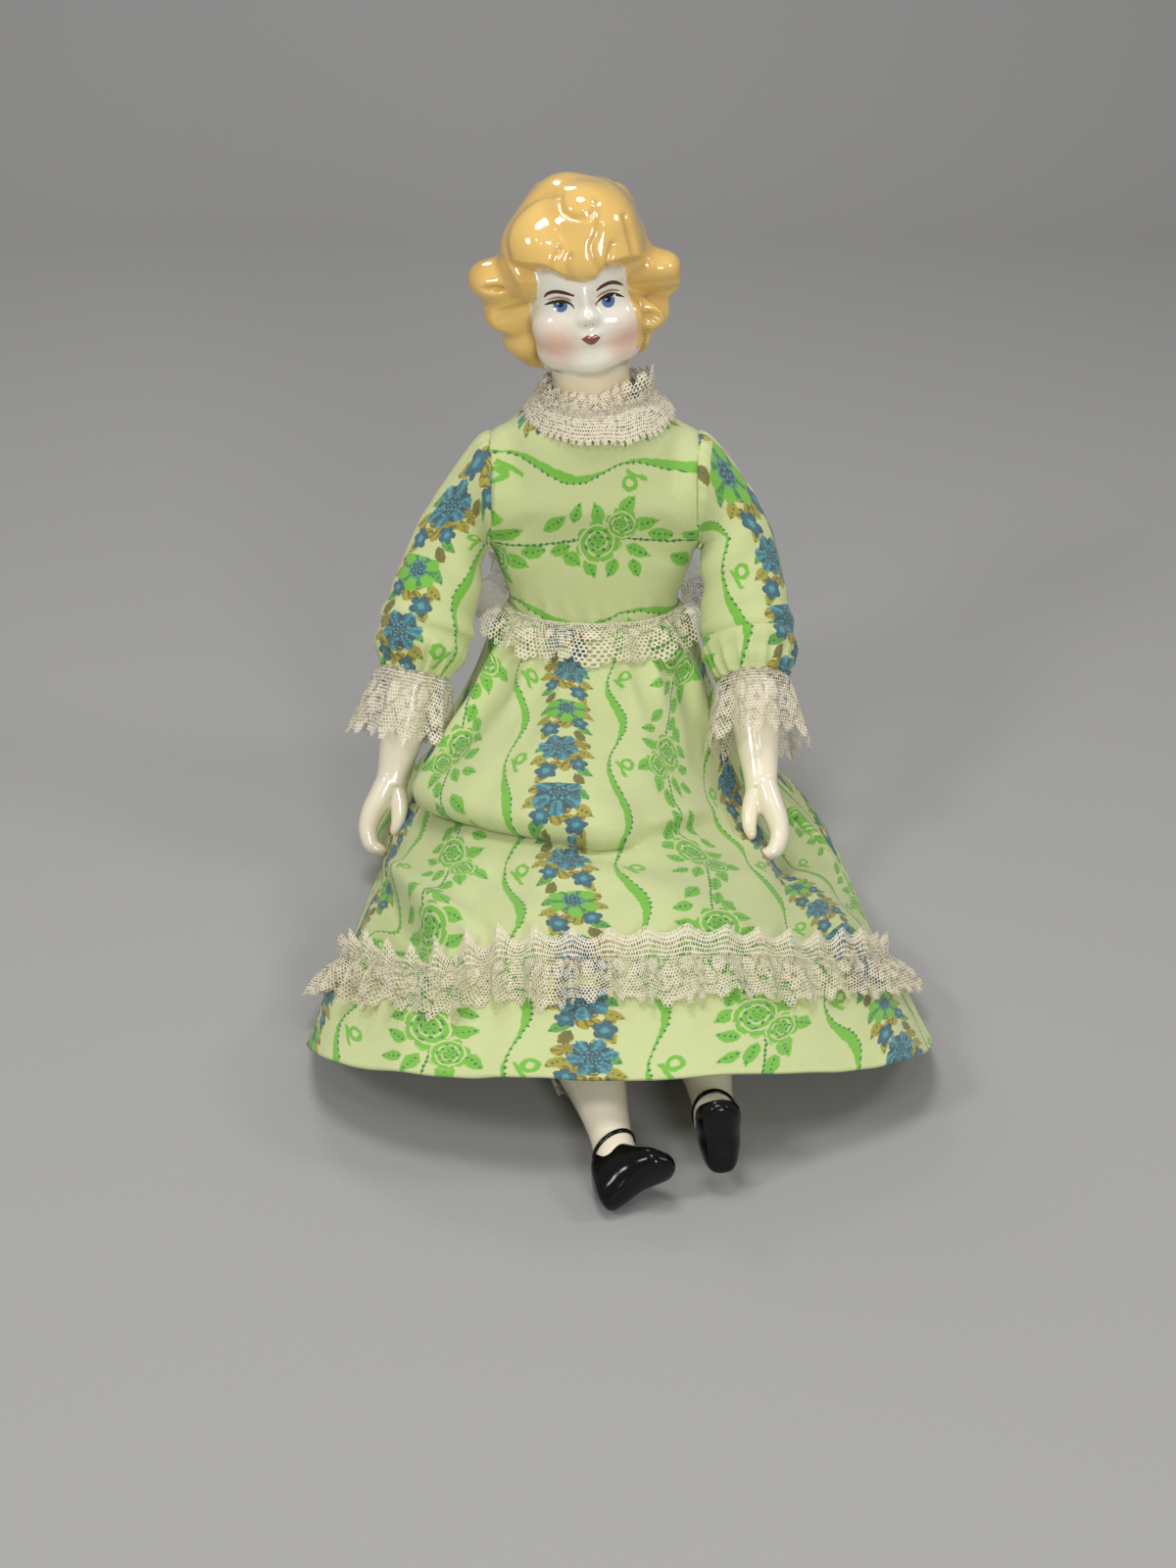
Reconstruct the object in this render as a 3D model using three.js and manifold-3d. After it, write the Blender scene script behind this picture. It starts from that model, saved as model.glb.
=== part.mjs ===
// A seated porcelain-head doll: glazed head, forearms and lower legs tied to a stuffed cloth body,
// dressed in a printed cotton frock with lace trim. Millimetres, +Z up, the doll faces -Y.
// The origin is on the table under the seat. "right" is the doll's own right, at -X.
import * as THREE from "three";
import { mergeVertices } from "three/addons/utils/BufferGeometryUtils.js";
import Module from "manifold-3d";

const wasm = await Module();
wasm.setup();

// Driving dimensions: thicknesses and clearances
const GAP = 0.4; // between neighbouring pieces
const PORCELAIN = 3; // wall of the cast head and shoulder plate
const CASING = 1; // muslin of the body
const COTTON = 1; // dress cloth
const SKIRT_CLOTH = 1.4; // skirt and its lining
const LACE = 0.8;
const DRAWERS_CLOTH = 0.8;

// Driving dimensions: body
const HIP_Y = -4; // axis of the stitched hips
const HIP_Z = 22;
const SEAT_R = 20; // round of the stuffed seat about the hip axis
const WAIST_Z = 82;
const WAIST_WIDE = 28; // half width and half depth of the stuffed waist
const WAIST_DEEP = 20;
const WAIST_SQUARE = 2.3; // 2 is an ellipse
const PLATE_Z = 126; // lower rim of the shoulder plate
const PLATE_TOP_Z = 147; // where the plate turns into the neck
const BODICE_EASE = 1.3; // room between the body and the bodice
const NECK_R = 13.8;
const NECK_BORE_R = 9;
const NECK_TOP_Z = PLATE_TOP_Z + 31;
const STITCH_X = 17; // sew holes of the shoulder plate, off the middle
const STITCH_Z = PLATE_Z + 5;
const STITCH_R = 0.8;
const STITCH_KNOT_R = 1.9;
const STITCH_KNOT_T = 0.6;
const PLACKET_W = 11; // flap that closes the back of the bodice
const SNAP_R = 2.2;
const SNAP_T = 0.8;
const SNAP_HEIGHTS = [13, 27, 41].map((up) => WAIST_Z + up);

// Driving dimensions: head
const HEAD_CENTRE = [-6, 3, NECK_TOP_Z + 22];
const HEAD_ROLL = -6; // degrees, crown towards the doll's right
const HEAD_TURN = 6; // degrees, face towards the doll's left

// Driving dimensions: arms
const ARMHOLE_X = 36.4;
const ARMHOLE_Y = 1;
const ARMHOLE_Z = 124;
const ARMHOLE_R = 19;
const SLEEVE_R = 12.8; // where the sleeve has turned down
const ARM_R = 9;
const ELBOW_T = 33; // all lengths with _T run down the arm or leg
const FOREARM_TOP_T = 35;
const CUFF_SEAM_T = 50;
const CUFF_LENGTH = 25;
const CUFF_RUFFLES = 9;
const ARM_SPLAY = { right: 18, left: 8 };
const ARM_FORWARD = { right: 27, left: 29 };
const ELBOW_BEND = { right: 3, left: 19 };
const FOREARM_SPLAY = { right: 12, left: 3 };

// Driving dimensions: legs
const HIP_SEAM = { right: [-19.5, -24.6, 17], left: [19.5, -24, 17] };
const KNEE = { right: [-10, -142, 27], left: [28, -130, 25] };
const SHIN_AIM = { right: [0.19, -0.96, -0.2], left: [0.085, -0.99, -0.1] };
const TOE_TURN = { right: 62, left: -4 }; // degrees from toe-up towards the doll's left
const THIGH_R = 16.4;
const LEG_LENGTH = 99;
const DRAWERS_END_T = 50;
const DRAWERS_LACE = 13;

// Driving dimensions: skirt and lace
const WAIST_RUFFLES = 13;
const WAIST_LACE_DROP = 6.5;
const WAIST_LACE_REACH = 15;
const COLLAR_RUFFLES = 11;
const HEM_RUFFLES = 17;
const HEM_LACE_STAND = 2.2;

const LIMB_POINTS = 12;
const SIDES = { right: -1, left: 1 };

// Small helpers
const v = (x, y, z) => new THREE.Vector3(x, y, z);
const point = (list) => v(...list);
const ALONG_X = v(1, 0, 0);
const ALONG_Y = v(0, 1, 0);
const rad = THREE.MathUtils.degToRad;
const mix = THREE.MathUtils.lerp;
const squared = (value, power) => Math.sign(value) * Math.abs(value) ** (2 / power);

// A table's row at a key, straight between rows. The first column is the key.
function sample(table, key) {
  const last = table.length - 1;
  let i = table.findIndex((row) => row[0] > key) - 1;
  if (i === -2) i = last - 1;
  i = THREE.MathUtils.clamp(i, 0, last - 1);
  const share = THREE.MathUtils.clamp((key - table[i][0]) / (table[i + 1][0] - table[i][0]), 0, 1);
  return table[i].map((value, k) => mix(value, table[i + 1][k], share));
}

// A closed surface through rings of points. Its ends are capped, or joined where it is a loop.
// The quads of one place in the ring may be split along their other diagonal.
function loft(rings, loop = false, turned = -1) {
  const n = rings[0].length;
  const points = rings.flat();
  const faces = [];
  const quads = loop ? rings.length : rings.length - 1;
  for (let i = 0; i < quads; i++) {
    const a = i * n;
    const b = ((i + 1) % rings.length) * n;
    for (let k = 0; k < n; k++) {
      const next = (k + 1) % n;
      const [p, q, r, s] = [a + k, a + next, b + next, b + k];
      faces.push(...(k === turned ? [p, q, s, q, r, s] : [p, q, r, p, r, s]));
    }
  }
  if (!loop) {
    [rings[0], rings[rings.length - 1]].forEach((ring, end) => {
      const centre = ring.reduce((sum, p) => sum.add(p), v(0, 0, 0)).divideScalar(n);
      const start = end ? (rings.length - 1) * n : 0;
      points.push(centre);
      for (let k = 0; k < n; k++) {
        const next = (k + 1) % n;
        const edge = end ? [start + k, start + next] : [start + next, start + k];
        faces.push(points.length - 1, ...edge);
      }
    });
  }
  return faceOut(points, faces);
}

// An indexed geometry whose faces point out of the volume that it encloses.
function faceOut(points, faces) {
  let volume = 0;
  for (let i = 0; i < faces.length; i += 3) {
    const [a, b, c] = [0, 1, 2].map((k) => points[faces[i + k]]);
    volume += a.dot(v(0, 0, 0).crossVectors(b, c));
  }
  if (volume < 0) faces.reverse();
  const geometry = new THREE.BufferGeometry().setFromPoints(points);
  geometry.setIndex(faces);
  geometry.computeVertexNormals();
  return geometry;
}

// A ring of points round a centre: an ellipse in the plane of two half axes, squarer above power 2.
function ring(n, centre, halfA, halfB, power = 2) {
  return Array.from({ length: n }, (_, k) => {
    const turn = (2 * Math.PI * k) / n;
    return centre
      .clone()
      .addScaledVector(halfA, squared(Math.cos(turn), power))
      .addScaledVector(halfB, squared(Math.sin(turn), power));
  });
}

// A level ring.
const level = (n, centre, wide, deep = wide) => ring(n, centre, v(wide, 0, 0), v(0, deep, 0));

// Rings along a line of stations: centre, direction and two radii, with the side axis near a hint.
function ringsAlong(stations, n, hint) {
  return stations.map(({ at, aim, wide, high }) => {
    const side = hint.clone().addScaledVector(aim, -hint.dot(aim)).normalize();
    const up = v(0, 0, 0).crossVectors(side, aim).normalize();
    return ring(n, at, side.multiplyScalar(wide), up.multiplyScalar(high ?? wide));
  });
}

// Boolean work
function solid(geometry) {
  const bare = new THREE.BufferGeometry();
  bare.setAttribute("position", geometry.getAttribute("position"));
  bare.setIndex(geometry.getIndex());
  const merged = mergeVertices(bare, 1e-4);
  return new wasm.Manifold(
    new wasm.Mesh({
      numProp: 3,
      vertProperties: new Float32Array(merged.attributes.position.array),
      triVerts: new Uint32Array(merged.index.array),
    }),
  );
}

function geometryOf(manifold) {
  const mesh = manifold.getMesh();
  const geometry = new THREE.BufferGeometry();
  geometry.setAttribute("position", new THREE.BufferAttribute(mesh.vertProperties, 3));
  geometry.setIndex(new THREE.BufferAttribute(mesh.triVerts, 1));
  geometry.computeVertexNormals();
  return geometry;
}

// Materials
const finish = (color, roughness) => new THREE.MeshStandardMaterial({ color, roughness, metalness: 0 });
const MATERIALS = {
  porcelain: finish(0xe9e3da, 0.12),
  muslin: finish(0xd9cfba, 0.9),
  stuffing: finish(0xf0ece2, 1),
  thread: finish(0xe8e2d2, 0.8),
  cotton: finish(0xc3d69b, 0.85),
  lace: finish(0xdcd3c0, 0.9),
  linen: finish(0xeeeae0, 0.9),
  snap: new THREE.MeshStandardMaterial({ color: 0x9a9a98, roughness: 0.35, metalness: 1 }),
};

function piece(name, geometry, material) {
  const mesh = new THREE.Mesh(geometry, MATERIALS[material]);
  mesh.name = name;
  return mesh;
}

// Torso: height, half width, half depth, middle and squareness of each ring. Below the hips it is
// round about the hip axis.
const SEAT_Z = HIP_Z - SEAT_R;
const SEAT_ROWS = [
  [0.4, 22],
  [3, 28],
  [8, 33],
  [14, 35],
];
const CHEST_Z = PLATE_Z - 12;
const SHOULDER_Z = [0.38, 0.667, 0.857].map((share) => mix(PLATE_Z, PLATE_TOP_Z, share));
const seatDepth = (z) => Math.sqrt(Math.max(SEAT_R ** 2 - (z - HIP_Z) ** 2, 0));
const TORSO = [
  ...SEAT_ROWS.map(([rise, wide]) => [SEAT_Z + rise, wide, seatDepth(SEAT_Z + rise), HIP_Y, 4]),
  [HIP_Z, 35.5, SEAT_R, HIP_Y, 4],
  [HIP_Z + 20, 33, 20, -2, 3],
  [WAIST_Z - 20, 30, 20, 0, WAIST_SQUARE],
  [WAIST_Z, WAIST_WIDE, WAIST_DEEP, 0, WAIST_SQUARE],
  [WAIST_Z + 18, WAIST_WIDE, WAIST_DEEP, 0, WAIST_SQUARE],
  [CHEST_Z, 28.5, 19, 0, WAIST_SQUARE],
  [PLATE_Z, 29, 18.5, 1, WAIST_SQUARE],
  [SHOULDER_Z[0], 27.5, 17, 1, WAIST_SQUARE],
  [SHOULDER_Z[1], 23.5, 15, 1, WAIST_SQUARE],
  [SHOULDER_Z[2], 18, 12.5, 1, WAIST_SQUARE],
  [PLATE_TOP_Z, 12, 10.5, 1, WAIST_SQUARE],
];
const TORSO_POINTS = 16;

function torsoRing(z, grow, n = TORSO_POINTS, rise = 0) {
  const [, wide, deep, y, power] = sample(TORSO, z);
  return ring(n, v(0, y, z + rise), v(wide + grow, 0, 0), v(0, deep + grow, 0), power);
}

function torsoCasing() {
  const heights = TORSO.map((row) => row[0]);
  const outside = heights.map((z) => torsoRing(z, 0));
  const inside = heights.slice(1).map((z) => torsoRing(z, -CASING));
  inside[0] = torsoRing(heights[0] + CASING, -CASING - 3);
  return loft([...inside, ...outside.reverse()]);
}

function torsoStuffing() {
  const heights = TORSO.map((row) => row[0]).slice(2);
  const inset = -CASING - GAP;
  const low = torsoRing(TORSO[0][0] + CASING + GAP, inset - 4);
  return loft([low, ...heights.map((z) => torsoRing(z, inset))]);
}

// The shoulder plate lies on the casing's shoulders and runs up into the neck.
const PLATE_GROW = GAP + PORCELAIN;
const PLATE_HEIGHTS = [PLATE_Z, ...SHOULDER_Z];
const plateGrow = () => PLATE_GROW;
const plateRise = (z) => sample([[PLATE_Z, 0], [SHOULDER_Z[2], 2]], z)[1];
const plateRing = (z) => torsoRing(z, PLATE_GROW, 20, plateRise(z));

// Head: ellipsoids of the skull, face and moulded hair, each a centre and three radii from the head's
// middle. Rows with both sides are mirrored. The surface is the farthest of them in each direction.
const HEAD_LUMPS = [
  { at: [0, 2, 3], size: [18, 21, 24] }, // skull
  { at: [0, -5, -9], size: [17.6, 15.5, 16.5] }, // face
  { at: [0, -13, -18.5], size: [7, 6, 6] }, // chin
  { at: [0, -19.5, -4], size: [2.5, 4, 4.5] }, // nose
  { at: [8.5, -10, -10], size: [9, 9, 9], both: true }, // cheeks
  { at: [0.5, 5, 13], size: [24, 26, 20.5] }, // hair over the crown
  { at: [4, -6, 18], size: [18, 16, 13] }, // top wave
  { at: [0, 14, -4], size: [24, 17, 27] }, // hair at the back
  { at: [9, -11, 12], size: [11, 9, 8], both: true }, // fringe
  { at: [0, -14, 11], size: [7, 8, 7] }, // middle of the fringe
  { at: [-22, 1, 5.5], size: [13, 13, 10] }, // curls beside the brow
  { at: [22, 1, 1.5], size: [13, 13, 10] },
  { at: [20, 1, -8], size: [12.5, 12, 11], both: true }, // curls beside the cheeks
  { at: [14.5, 5, -20], size: [12, 11, 11], both: true }, // curls at the neck
];
const HEAD_ROUND = 36;
const HEAD_TALL = 20;

// Where a ray from the head's middle leaves an ellipsoid, or 0 where it misses.
function leaves(aim, at, size) {
  const d = v(aim.x / size[0], aim.y / size[1], aim.z / size[2]);
  const c = v(at[0] / size[0], at[1] / size[1], at[2] / size[2]);
  const along = d.dot(c) / d.lengthSq();
  const left = along ** 2 - (c.lengthSq() - 1) / d.lengthSq();
  return left > 0 ? along + Math.sqrt(left) : 0;
}

function headReach(aim) {
  const reaches = HEAD_LUMPS.flatMap(({ at, size, both }) => {
    const mirrored = both ? [[-at[0], at[1], at[2]]] : [];
    return [at, ...mirrored].map((centre) => leaves(aim, centre, size));
  });
  return Math.max(...reaches);
}

function headGeometry() {
  const rings = [];
  for (let i = 1; i < HEAD_TALL; i++) {
    const fall = (Math.PI * i) / HEAD_TALL;
    rings.push(
      Array.from({ length: HEAD_ROUND }, (_, k) => {
        const turn = (2 * Math.PI * k) / HEAD_ROUND;
        const aim = v(
          Math.sin(fall) * Math.cos(turn),
          Math.sin(fall) * Math.sin(turn),
          Math.cos(fall),
        );
        return aim.multiplyScalar(headReach(aim));
      }),
    );
  }
  const place = new THREE.Matrix4()
    .makeTranslation(...HEAD_CENTRE)
    .multiply(new THREE.Matrix4().makeRotationZ(rad(HEAD_TURN)))
    .multiply(new THREE.Matrix4().makeRotationY(rad(HEAD_ROLL)));
  return loft(rings).applyMatrix4(place);
}

// The inside of the head, down through the neck to the plate: height, two radii and a middle.
// The stuffing fills it, shrunk.
const CAVITY = [
  [PLATE_TOP_Z + 5, NECK_BORE_R, NECK_BORE_R, 0, 2],
  [NECK_TOP_Z - 8, NECK_BORE_R, NECK_BORE_R, -1, 2],
  [HEAD_CENTRE[2] - 20, 14, 12, -4, 3],
  [HEAD_CENTRE[2] - 10, 19, 16, -5, 4],
  [HEAD_CENTRE[2] + 5, 19, 18, -6, 5],
  [HEAD_CENTRE[2] + 18, 14, 14, -7, 5],
  [HEAD_CENTRE[2] + 25, 6, 6, -8, 5],
];

function cavityRings(shrink) {
  return CAVITY.map(([z, wide, deep, x, y]) => level(LIMB_POINTS, v(x, y, z), wide - shrink, deep - shrink));
}

function shoulderHead() {
  const neck = [
    [PLATE_TOP_Z + 3.5, 20, 16.5, 0, 1],
    [PLATE_TOP_Z + 6, 16.5, 15, 0, 1],
    [PLATE_TOP_Z + 11, NECK_R, NECK_R, -0.6, 0.5],
    [NECK_TOP_Z - 11, NECK_R - 0.5, NECK_R - 0.5, -1.2, 0],
    [NECK_TOP_Z, NECK_R - 1, NECK_R - 1, -2, 0],
  ].map(([z, wide, deep, x, y]) => level(20, v(x, y, z), wide, deep));
  const outside = solid(loft([...PLATE_HEIGHTS.map((z) => plateRing(z)), ...neck]));
  const seat = [PLATE_Z - 1, ...PLATE_HEIGHTS.slice(1), PLATE_TOP_Z].map((z) => torsoRing(z, GAP));
  const bore = [1, 6].map((rise) => level(TORSO_POINTS, v(0, 2, PLATE_TOP_Z + rise), NECK_BORE_R));
  const inside = solid(loft([...seat, ...bore]));
  let made = outside.add(solid(headGeometry())).subtract(inside).subtract(solid(loft(cavityRings(0))));
  for (const [x, side] of stitchPlaces()) {
    const { at, out } = bodyFace(STITCH_Z, x, side, plateGrow);
    made = made.subtract(solid(rod(STITCH_R + GAP, at, out, -2 * PORCELAIN, 2)));
  }
  return geometryOf(made);
}

function headStuffing() {
  const foot = level(LIMB_POINTS, v(0, 2, PLATE_TOP_Z + 2 * GAP), NECK_BORE_R - GAP);
  const rings = cavityRings(GAP);
  rings[rings.length - 1].forEach((p) => p.setZ(p.z - GAP));
  return loft([foot, ...rings]);
}

// A round bar along a direction, between two distances from a point.
function rod(r, at, out, from, to) {
  const stations = [from, to].map((t) => ({ at: at.clone().addScaledVector(out, t), aim: out, wide: r }));
  return loft(ringsAlong(stations, 10, v(0, 0, 1)));
}

// The four sew holes: place across, and +1 at the front or -1 at the back.
function stitchPlaces() {
  return [-STITCH_X, STITCH_X].flatMap((x) => [[x, 1], [x, -1]]);
}

// Depth of a body ring's surface at a place across, in front of or behind its middle.
function surfaceY(z, grow, x, side) {
  const [, wide, deep, y, power] = sample(TORSO, z);
  const share = (1 - (Math.abs(x) / (wide + grow)) ** power) ** (1 / power);
  return y - side * (deep + grow) * share;
}

// A place on that surface and the direction out of it.
function bodyFace(z, x, side, grow) {
  const place = (px, pz) => v(px, surfaceY(pz, grow(pz), px, side), pz);
  const at = place(x, z);
  const out = v(0, 0, 0).crossVectors(place(x + 1, z).sub(at), place(x, z + 1).sub(at)).normalize();
  return { at, out: out.multiplyScalar(side) };
}

function stitch(x, side) {
  const { at, out } = bodyFace(STITCH_Z, x, side, plateGrow);
  const rows = [
    [-PORCELAIN - GAP / 2, STITCH_R],
    [GAP, STITCH_R],
    [GAP, STITCH_KNOT_R],
    [GAP + STITCH_KNOT_T, STITCH_KNOT_R],
  ];
  const stations = rows.map(([t, r]) => ({ at: at.clone().addScaledVector(out, t), aim: out, wide: r }));
  return loft(ringsAlong(stations, 10, v(0, 0, 1)));
}

// Bodice: a tube over the body and the plate, with a short round yoke at each armhole.
const BODICE_HEIGHTS = [WAIST_Z + 0.3, WAIST_Z + 10, WAIST_Z + 22, CHEST_Z, ...PLATE_HEIGHTS];

// How far the bodice's inside stands off the body, which it clears by the plate higher up.
function bodiceGrow(z) {
  return BODICE_EASE + PLATE_GROW * sample([[CHEST_Z, 0], [PLATE_Z, 1]], z)[1];
}

function bodiceRing(z, extra) {
  return torsoRing(z, bodiceGrow(z) + extra, 24, plateRise(z));
}

function armholeTube(r, from, to, side) {
  const ends = [from, to].map((x) => ring(20, v(side * x, ARMHOLE_Y, ARMHOLE_Z), v(0, r, 0), v(0, 0, r)));
  return solid(loft(ends));
}

function bodice() {
  const outside = solid(loft(BODICE_HEIGHTS.map((z) => bodiceRing(z, COTTON))));
  const through = BODICE_HEIGHTS.map((z) => bodiceRing(z, 0));
  through[0].forEach((p) => p.setZ(p.z - 1));
  through.at(-1).forEach((p) => p.setZ(p.z + 0.1));
  const inside = solid(loft(through));
  const yokeFrom = 22;
  let made = outside;
  let room = inside;
  for (const side of Object.values(SIDES)) {
    made = made.add(armholeTube(ARMHOLE_R, yokeFrom, ARMHOLE_X, side));
    room = room.add(armholeTube(ARMHOLE_R - COTTON, yokeFrom, ARMHOLE_X + 1, side));
  }
  return geometryOf(made.subtract(room));
}

function backPlacket() {
  const lift = COTTON + SNAP_T + 2 * GAP;
  const rows = [WAIST_Z + 5.5, WAIST_Z + 22, CHEST_Z, PLATE_Z, SHOULDER_Z[0]].map((z) => {
    const back = (grow) => surfaceY(z, bodiceGrow(z) + grow, 0, -1);
    const half = PLACKET_W / 2;
    const [near, far] = [back(lift), back(lift + COTTON)];
    return [v(-half, near, z), v(half, near, z), v(half, far, z), v(-half, far, z)];
  });
  return loft(rows);
}

function backSnap(z) {
  const { at, out } = bodyFace(z, 0, -1, (height) => bodiceGrow(height) + COTTON);
  return rod(SNAP_R, at, out, GAP, GAP + SNAP_T - 0.3);
}

// A lace frill: a strip between an inner and an outer edge that waves as it goes round.
// Its two faces are split along the same diagonals, so that they don't cross.
function frill(count, edgeAt) {
  const sections = Array.from({ length: count }, (_, k) => {
    const turn = (2 * Math.PI * k) / count;
    const { inner, outer, across } = edgeAt(turn);
    const lifted = (edge, half) => edge.clone().addScaledVector(across, half);
    return [
      lifted(inner, -LACE / 2),
      lifted(outer, -LACE / 2),
      lifted(outer, LACE / 2),
      lifted(inner, LACE / 2),
    ];
  });
  return loft(sections, true, 2);
}

// Points of an oval at a turn. Turn 0 is the doll's left, a quarter turn is the back.
const oval = (turn, wide, deep, z, y = 0, power = 2) =>
  v(squared(Math.cos(turn), power) * wide, y + squared(Math.sin(turn), power) * deep, z);

function waistLace() {
  const grow = BODICE_EASE + COTTON + GAP + 0.3;
  const around = (turn, out, z) => oval(turn, WAIST_WIDE + out, WAIST_DEEP + out, z, 0, WAIST_SQUARE);
  return frill(WAIST_RUFFLES * 4, (turn) => {
    const wave = Math.cos(WAIST_RUFFLES * turn);
    const sideways = Math.cos(turn) ** 2;
    const reach = mix(WAIST_LACE_REACH, 8.6, sideways) + wave * 0.9;
    const fall = mix(-WAIST_LACE_DROP, 7, sideways) + wave * 2.2;
    const seam = WAIST_Z + 2.4;
    const outer = around(turn, grow + reach, seam + fall);
    return { inner: around(turn, grow, seam), outer, across: v(0, 0, 1) };
  });
}

// The collar: a flat lower tier on the shoulders and an upper tier that stands round the neck.
function collarLower() {
  return frill(COLLAR_RUFFLES * 4, (turn) => {
    const wave = Math.cos(COLLAR_RUFFLES * turn) * 0.5;
    const inner = oval(turn, 17.6, 16.2, PLATE_TOP_Z + 6.8, 1);
    const outer = oval(turn, 28.5, 23, PLATE_TOP_Z + 0.4 + wave, 1);
    return { inner, outer, across: v(0, 0, 1) };
  });
}

function collarUpper() {
  return frill(COLLAR_RUFFLES * 4, (turn) => {
    const wave = Math.cos(COLLAR_RUFFLES * turn);
    const across = v(Math.cos(turn), Math.sin(turn), 0);
    const height = PLATE_TOP_Z + 14 + 1.5 * Math.cos(turn);
    const inner = oval(turn, NECK_R + 1.3, NECK_R + 1.3, PLATE_TOP_Z + 10, 0.5);
    const outer = oval(turn, NECK_R + 8 + wave, NECK_R + 5 + wave, height, 0.5);
    return { inner, outer, across };
  });
}

// Arms, in a frame at the armhole with the arm hanging down: o runs outwards, z up.
// The sleeve turns about the underarm from the armhole's plane to the arm's own direction.
function armAxis(side) {
  const splay = rad(ARM_SPLAY[side]);
  const sign = SIDES[side];
  const aim = v(sign * Math.sin(splay), 0, -Math.cos(splay));
  const bend = Math.PI / 2 - splay;
  const underarm = v(sign * GAP, 0, -ARMHOLE_R);
  const start = underarm
    .clone()
    .add(v(sign * Math.sin(bend) * SLEEVE_R, 0, Math.cos(bend) * SLEEVE_R));
  const inward = rad(FOREARM_SPLAY[side]);
  const low = v(sign * Math.sin(inward), 0, -Math.cos(inward));
  low.applyAxisAngle(ALONG_X, -rad(ELBOW_BEND[side]));
  const elbow = start.clone().addScaledVector(aim, ELBOW_T);
  const at = (t) => elbow.clone().addScaledVector(t < ELBOW_T ? aim : low, t - ELBOW_T);
  return { sign, aim, low, bend, underarm, at };
}

function armStations(side, turnRadii, straight) {
  const { sign, aim, low, bend, underarm, at } = armAxis(side);
  const turned = turnRadii.map((r, i) => {
    const angle = (bend * i) / turnRadii.length;
    const full = mix(ARMHOLE_R, SLEEVE_R, i / turnRadii.length);
    const centre = underarm.clone().add(v(sign * Math.sin(angle) * full, 0, Math.cos(angle) * full));
    return { at: centre, aim: v(sign * Math.cos(angle), 0, -Math.sin(angle)), wide: r };
  });
  return [...turned, ...straight.map(([t, wide]) => ({ at: at(t), aim: t > ELBOW_T ? low : aim, wide }))];
}

const SLEEVE_TURN = [0, 1, 2, 3].map((i) => mix(ARMHOLE_R, SLEEVE_R, i / 4));
const SLEEVE = [
  [0, SLEEVE_R],
  [14, 14],
  [28, 15.6],
  [40, 16],
  [46, 13.8],
  [CUFF_SEAM_T, 11.4],
];

function sleeve(side) {
  const grown = (grow) =>
    ringsAlong(
      armStations(side, SLEEVE_TURN.map((r) => r + grow), SLEEVE.map(([t, r]) => [t, r + grow])),
      16,
      ALONG_Y,
    );
  return loft([...grown(0), ...grown(-COTTON).reverse()], true);
}

// The tie groove at the top of a cast limb: a flange, a groove for the cloth's lip, then the limb.
const FLANGE_T = 1;
const GROOVE_T = 4;
const GROOVE_END_T = 9;
const round = (n, t, r, y = 0) => level(n, v(0, y, -t), r);
const limbTop = (flange, groove) => [
  [0, flange - 2],
  [FLANGE_T, flange],
  [GROOVE_T - 0.4, flange],
  [GROOVE_T, groove],
  [GROOVE_END_T - 0.4, groove],
];
const FOREARM_FLANGE = 7.4;
const FOREARM_GROOVE = 5.8;
const SHIN_FLANGE = 9;
const SHIN_GROOVE = 7.2;
const LIP = 1; // cloth in the groove

// The cloth end round a limb's flange and groove, as lengths down the limb and radii.
const lipRows = (flange, groove, grow) => [
  [0, flange + GAP + grow],
  [GROOVE_T + 0.2 + grow * 0.4, flange + GAP + grow],
  [GROOVE_T + 0.8 + grow * 0.4, groove + GAP + grow],
  [GROOVE_END_T - 0.9, groove + GAP + grow],
];

function tie(groove) {
  const rows = [
    [GROOVE_T + 1.8, groove + 2 * GAP + LIP],
    [GROOVE_T + 1.8, groove + 2 * GAP + LIP + 1.1],
    [GROOVE_END_T - 0.9, groove + 2 * GAP + LIP + 1.1],
    [GROOVE_END_T - 0.9, groove + 2 * GAP + LIP],
  ];
  return loft(rows.map(([t, r]) => round(LIMB_POINTS, t, r)), true);
}

const FOREARM_HOLLOW = [[0, 3.4], [30, 4.6], [44, 3]];
const SHIN_HOLLOW = [[0, 4.4], [36, 6.4], [58, 4.4]];
const hollow = (rows) => solid(loft([round(10, -1, rows[0][1]), ...rows.map(([t, r]) => round(10, t, r))]));

// The upper arm's closed end is sewn on beside the shoulder plate's rim.
const ARM_ROOT_X = sample(TORSO, PLATE_Z)[1] + PLATE_GROW + GAP;
const UPPER_ARM_TURN = [7.5, 8, 8.6, ARM_R];

function upperArm(side) {
  const outside = armStations(side, UPPER_ARM_TURN, [
    [6, ARM_R],
    [24, ARM_R + 0.4],
    ...lipRows(FOREARM_FLANGE, FOREARM_GROOVE, LIP).map(([t, r]) => [FOREARM_TOP_T + t, r]),
  ]);
  const inside = armStations(side, UPPER_ARM_TURN.map((r) => r - CASING), [
    [6, ARM_R - CASING],
    [24, ARM_R - CASING + 0.4],
    ...lipRows(FOREARM_FLANGE, FOREARM_GROOVE, 0).map(([t, r]) => [FOREARM_TOP_T + t, r]),
  ]);
  inside.shift();
  inside[0].at = inside[0].at.clone().lerp(outside[0].at, 0.5);
  outside[0].at.setX(SIDES[side] * (ARM_ROOT_X - ARMHOLE_X));
  return loft(ringsAlong([...inside, ...outside.reverse()], LIMB_POINTS, ALONG_Y));
}

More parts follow.
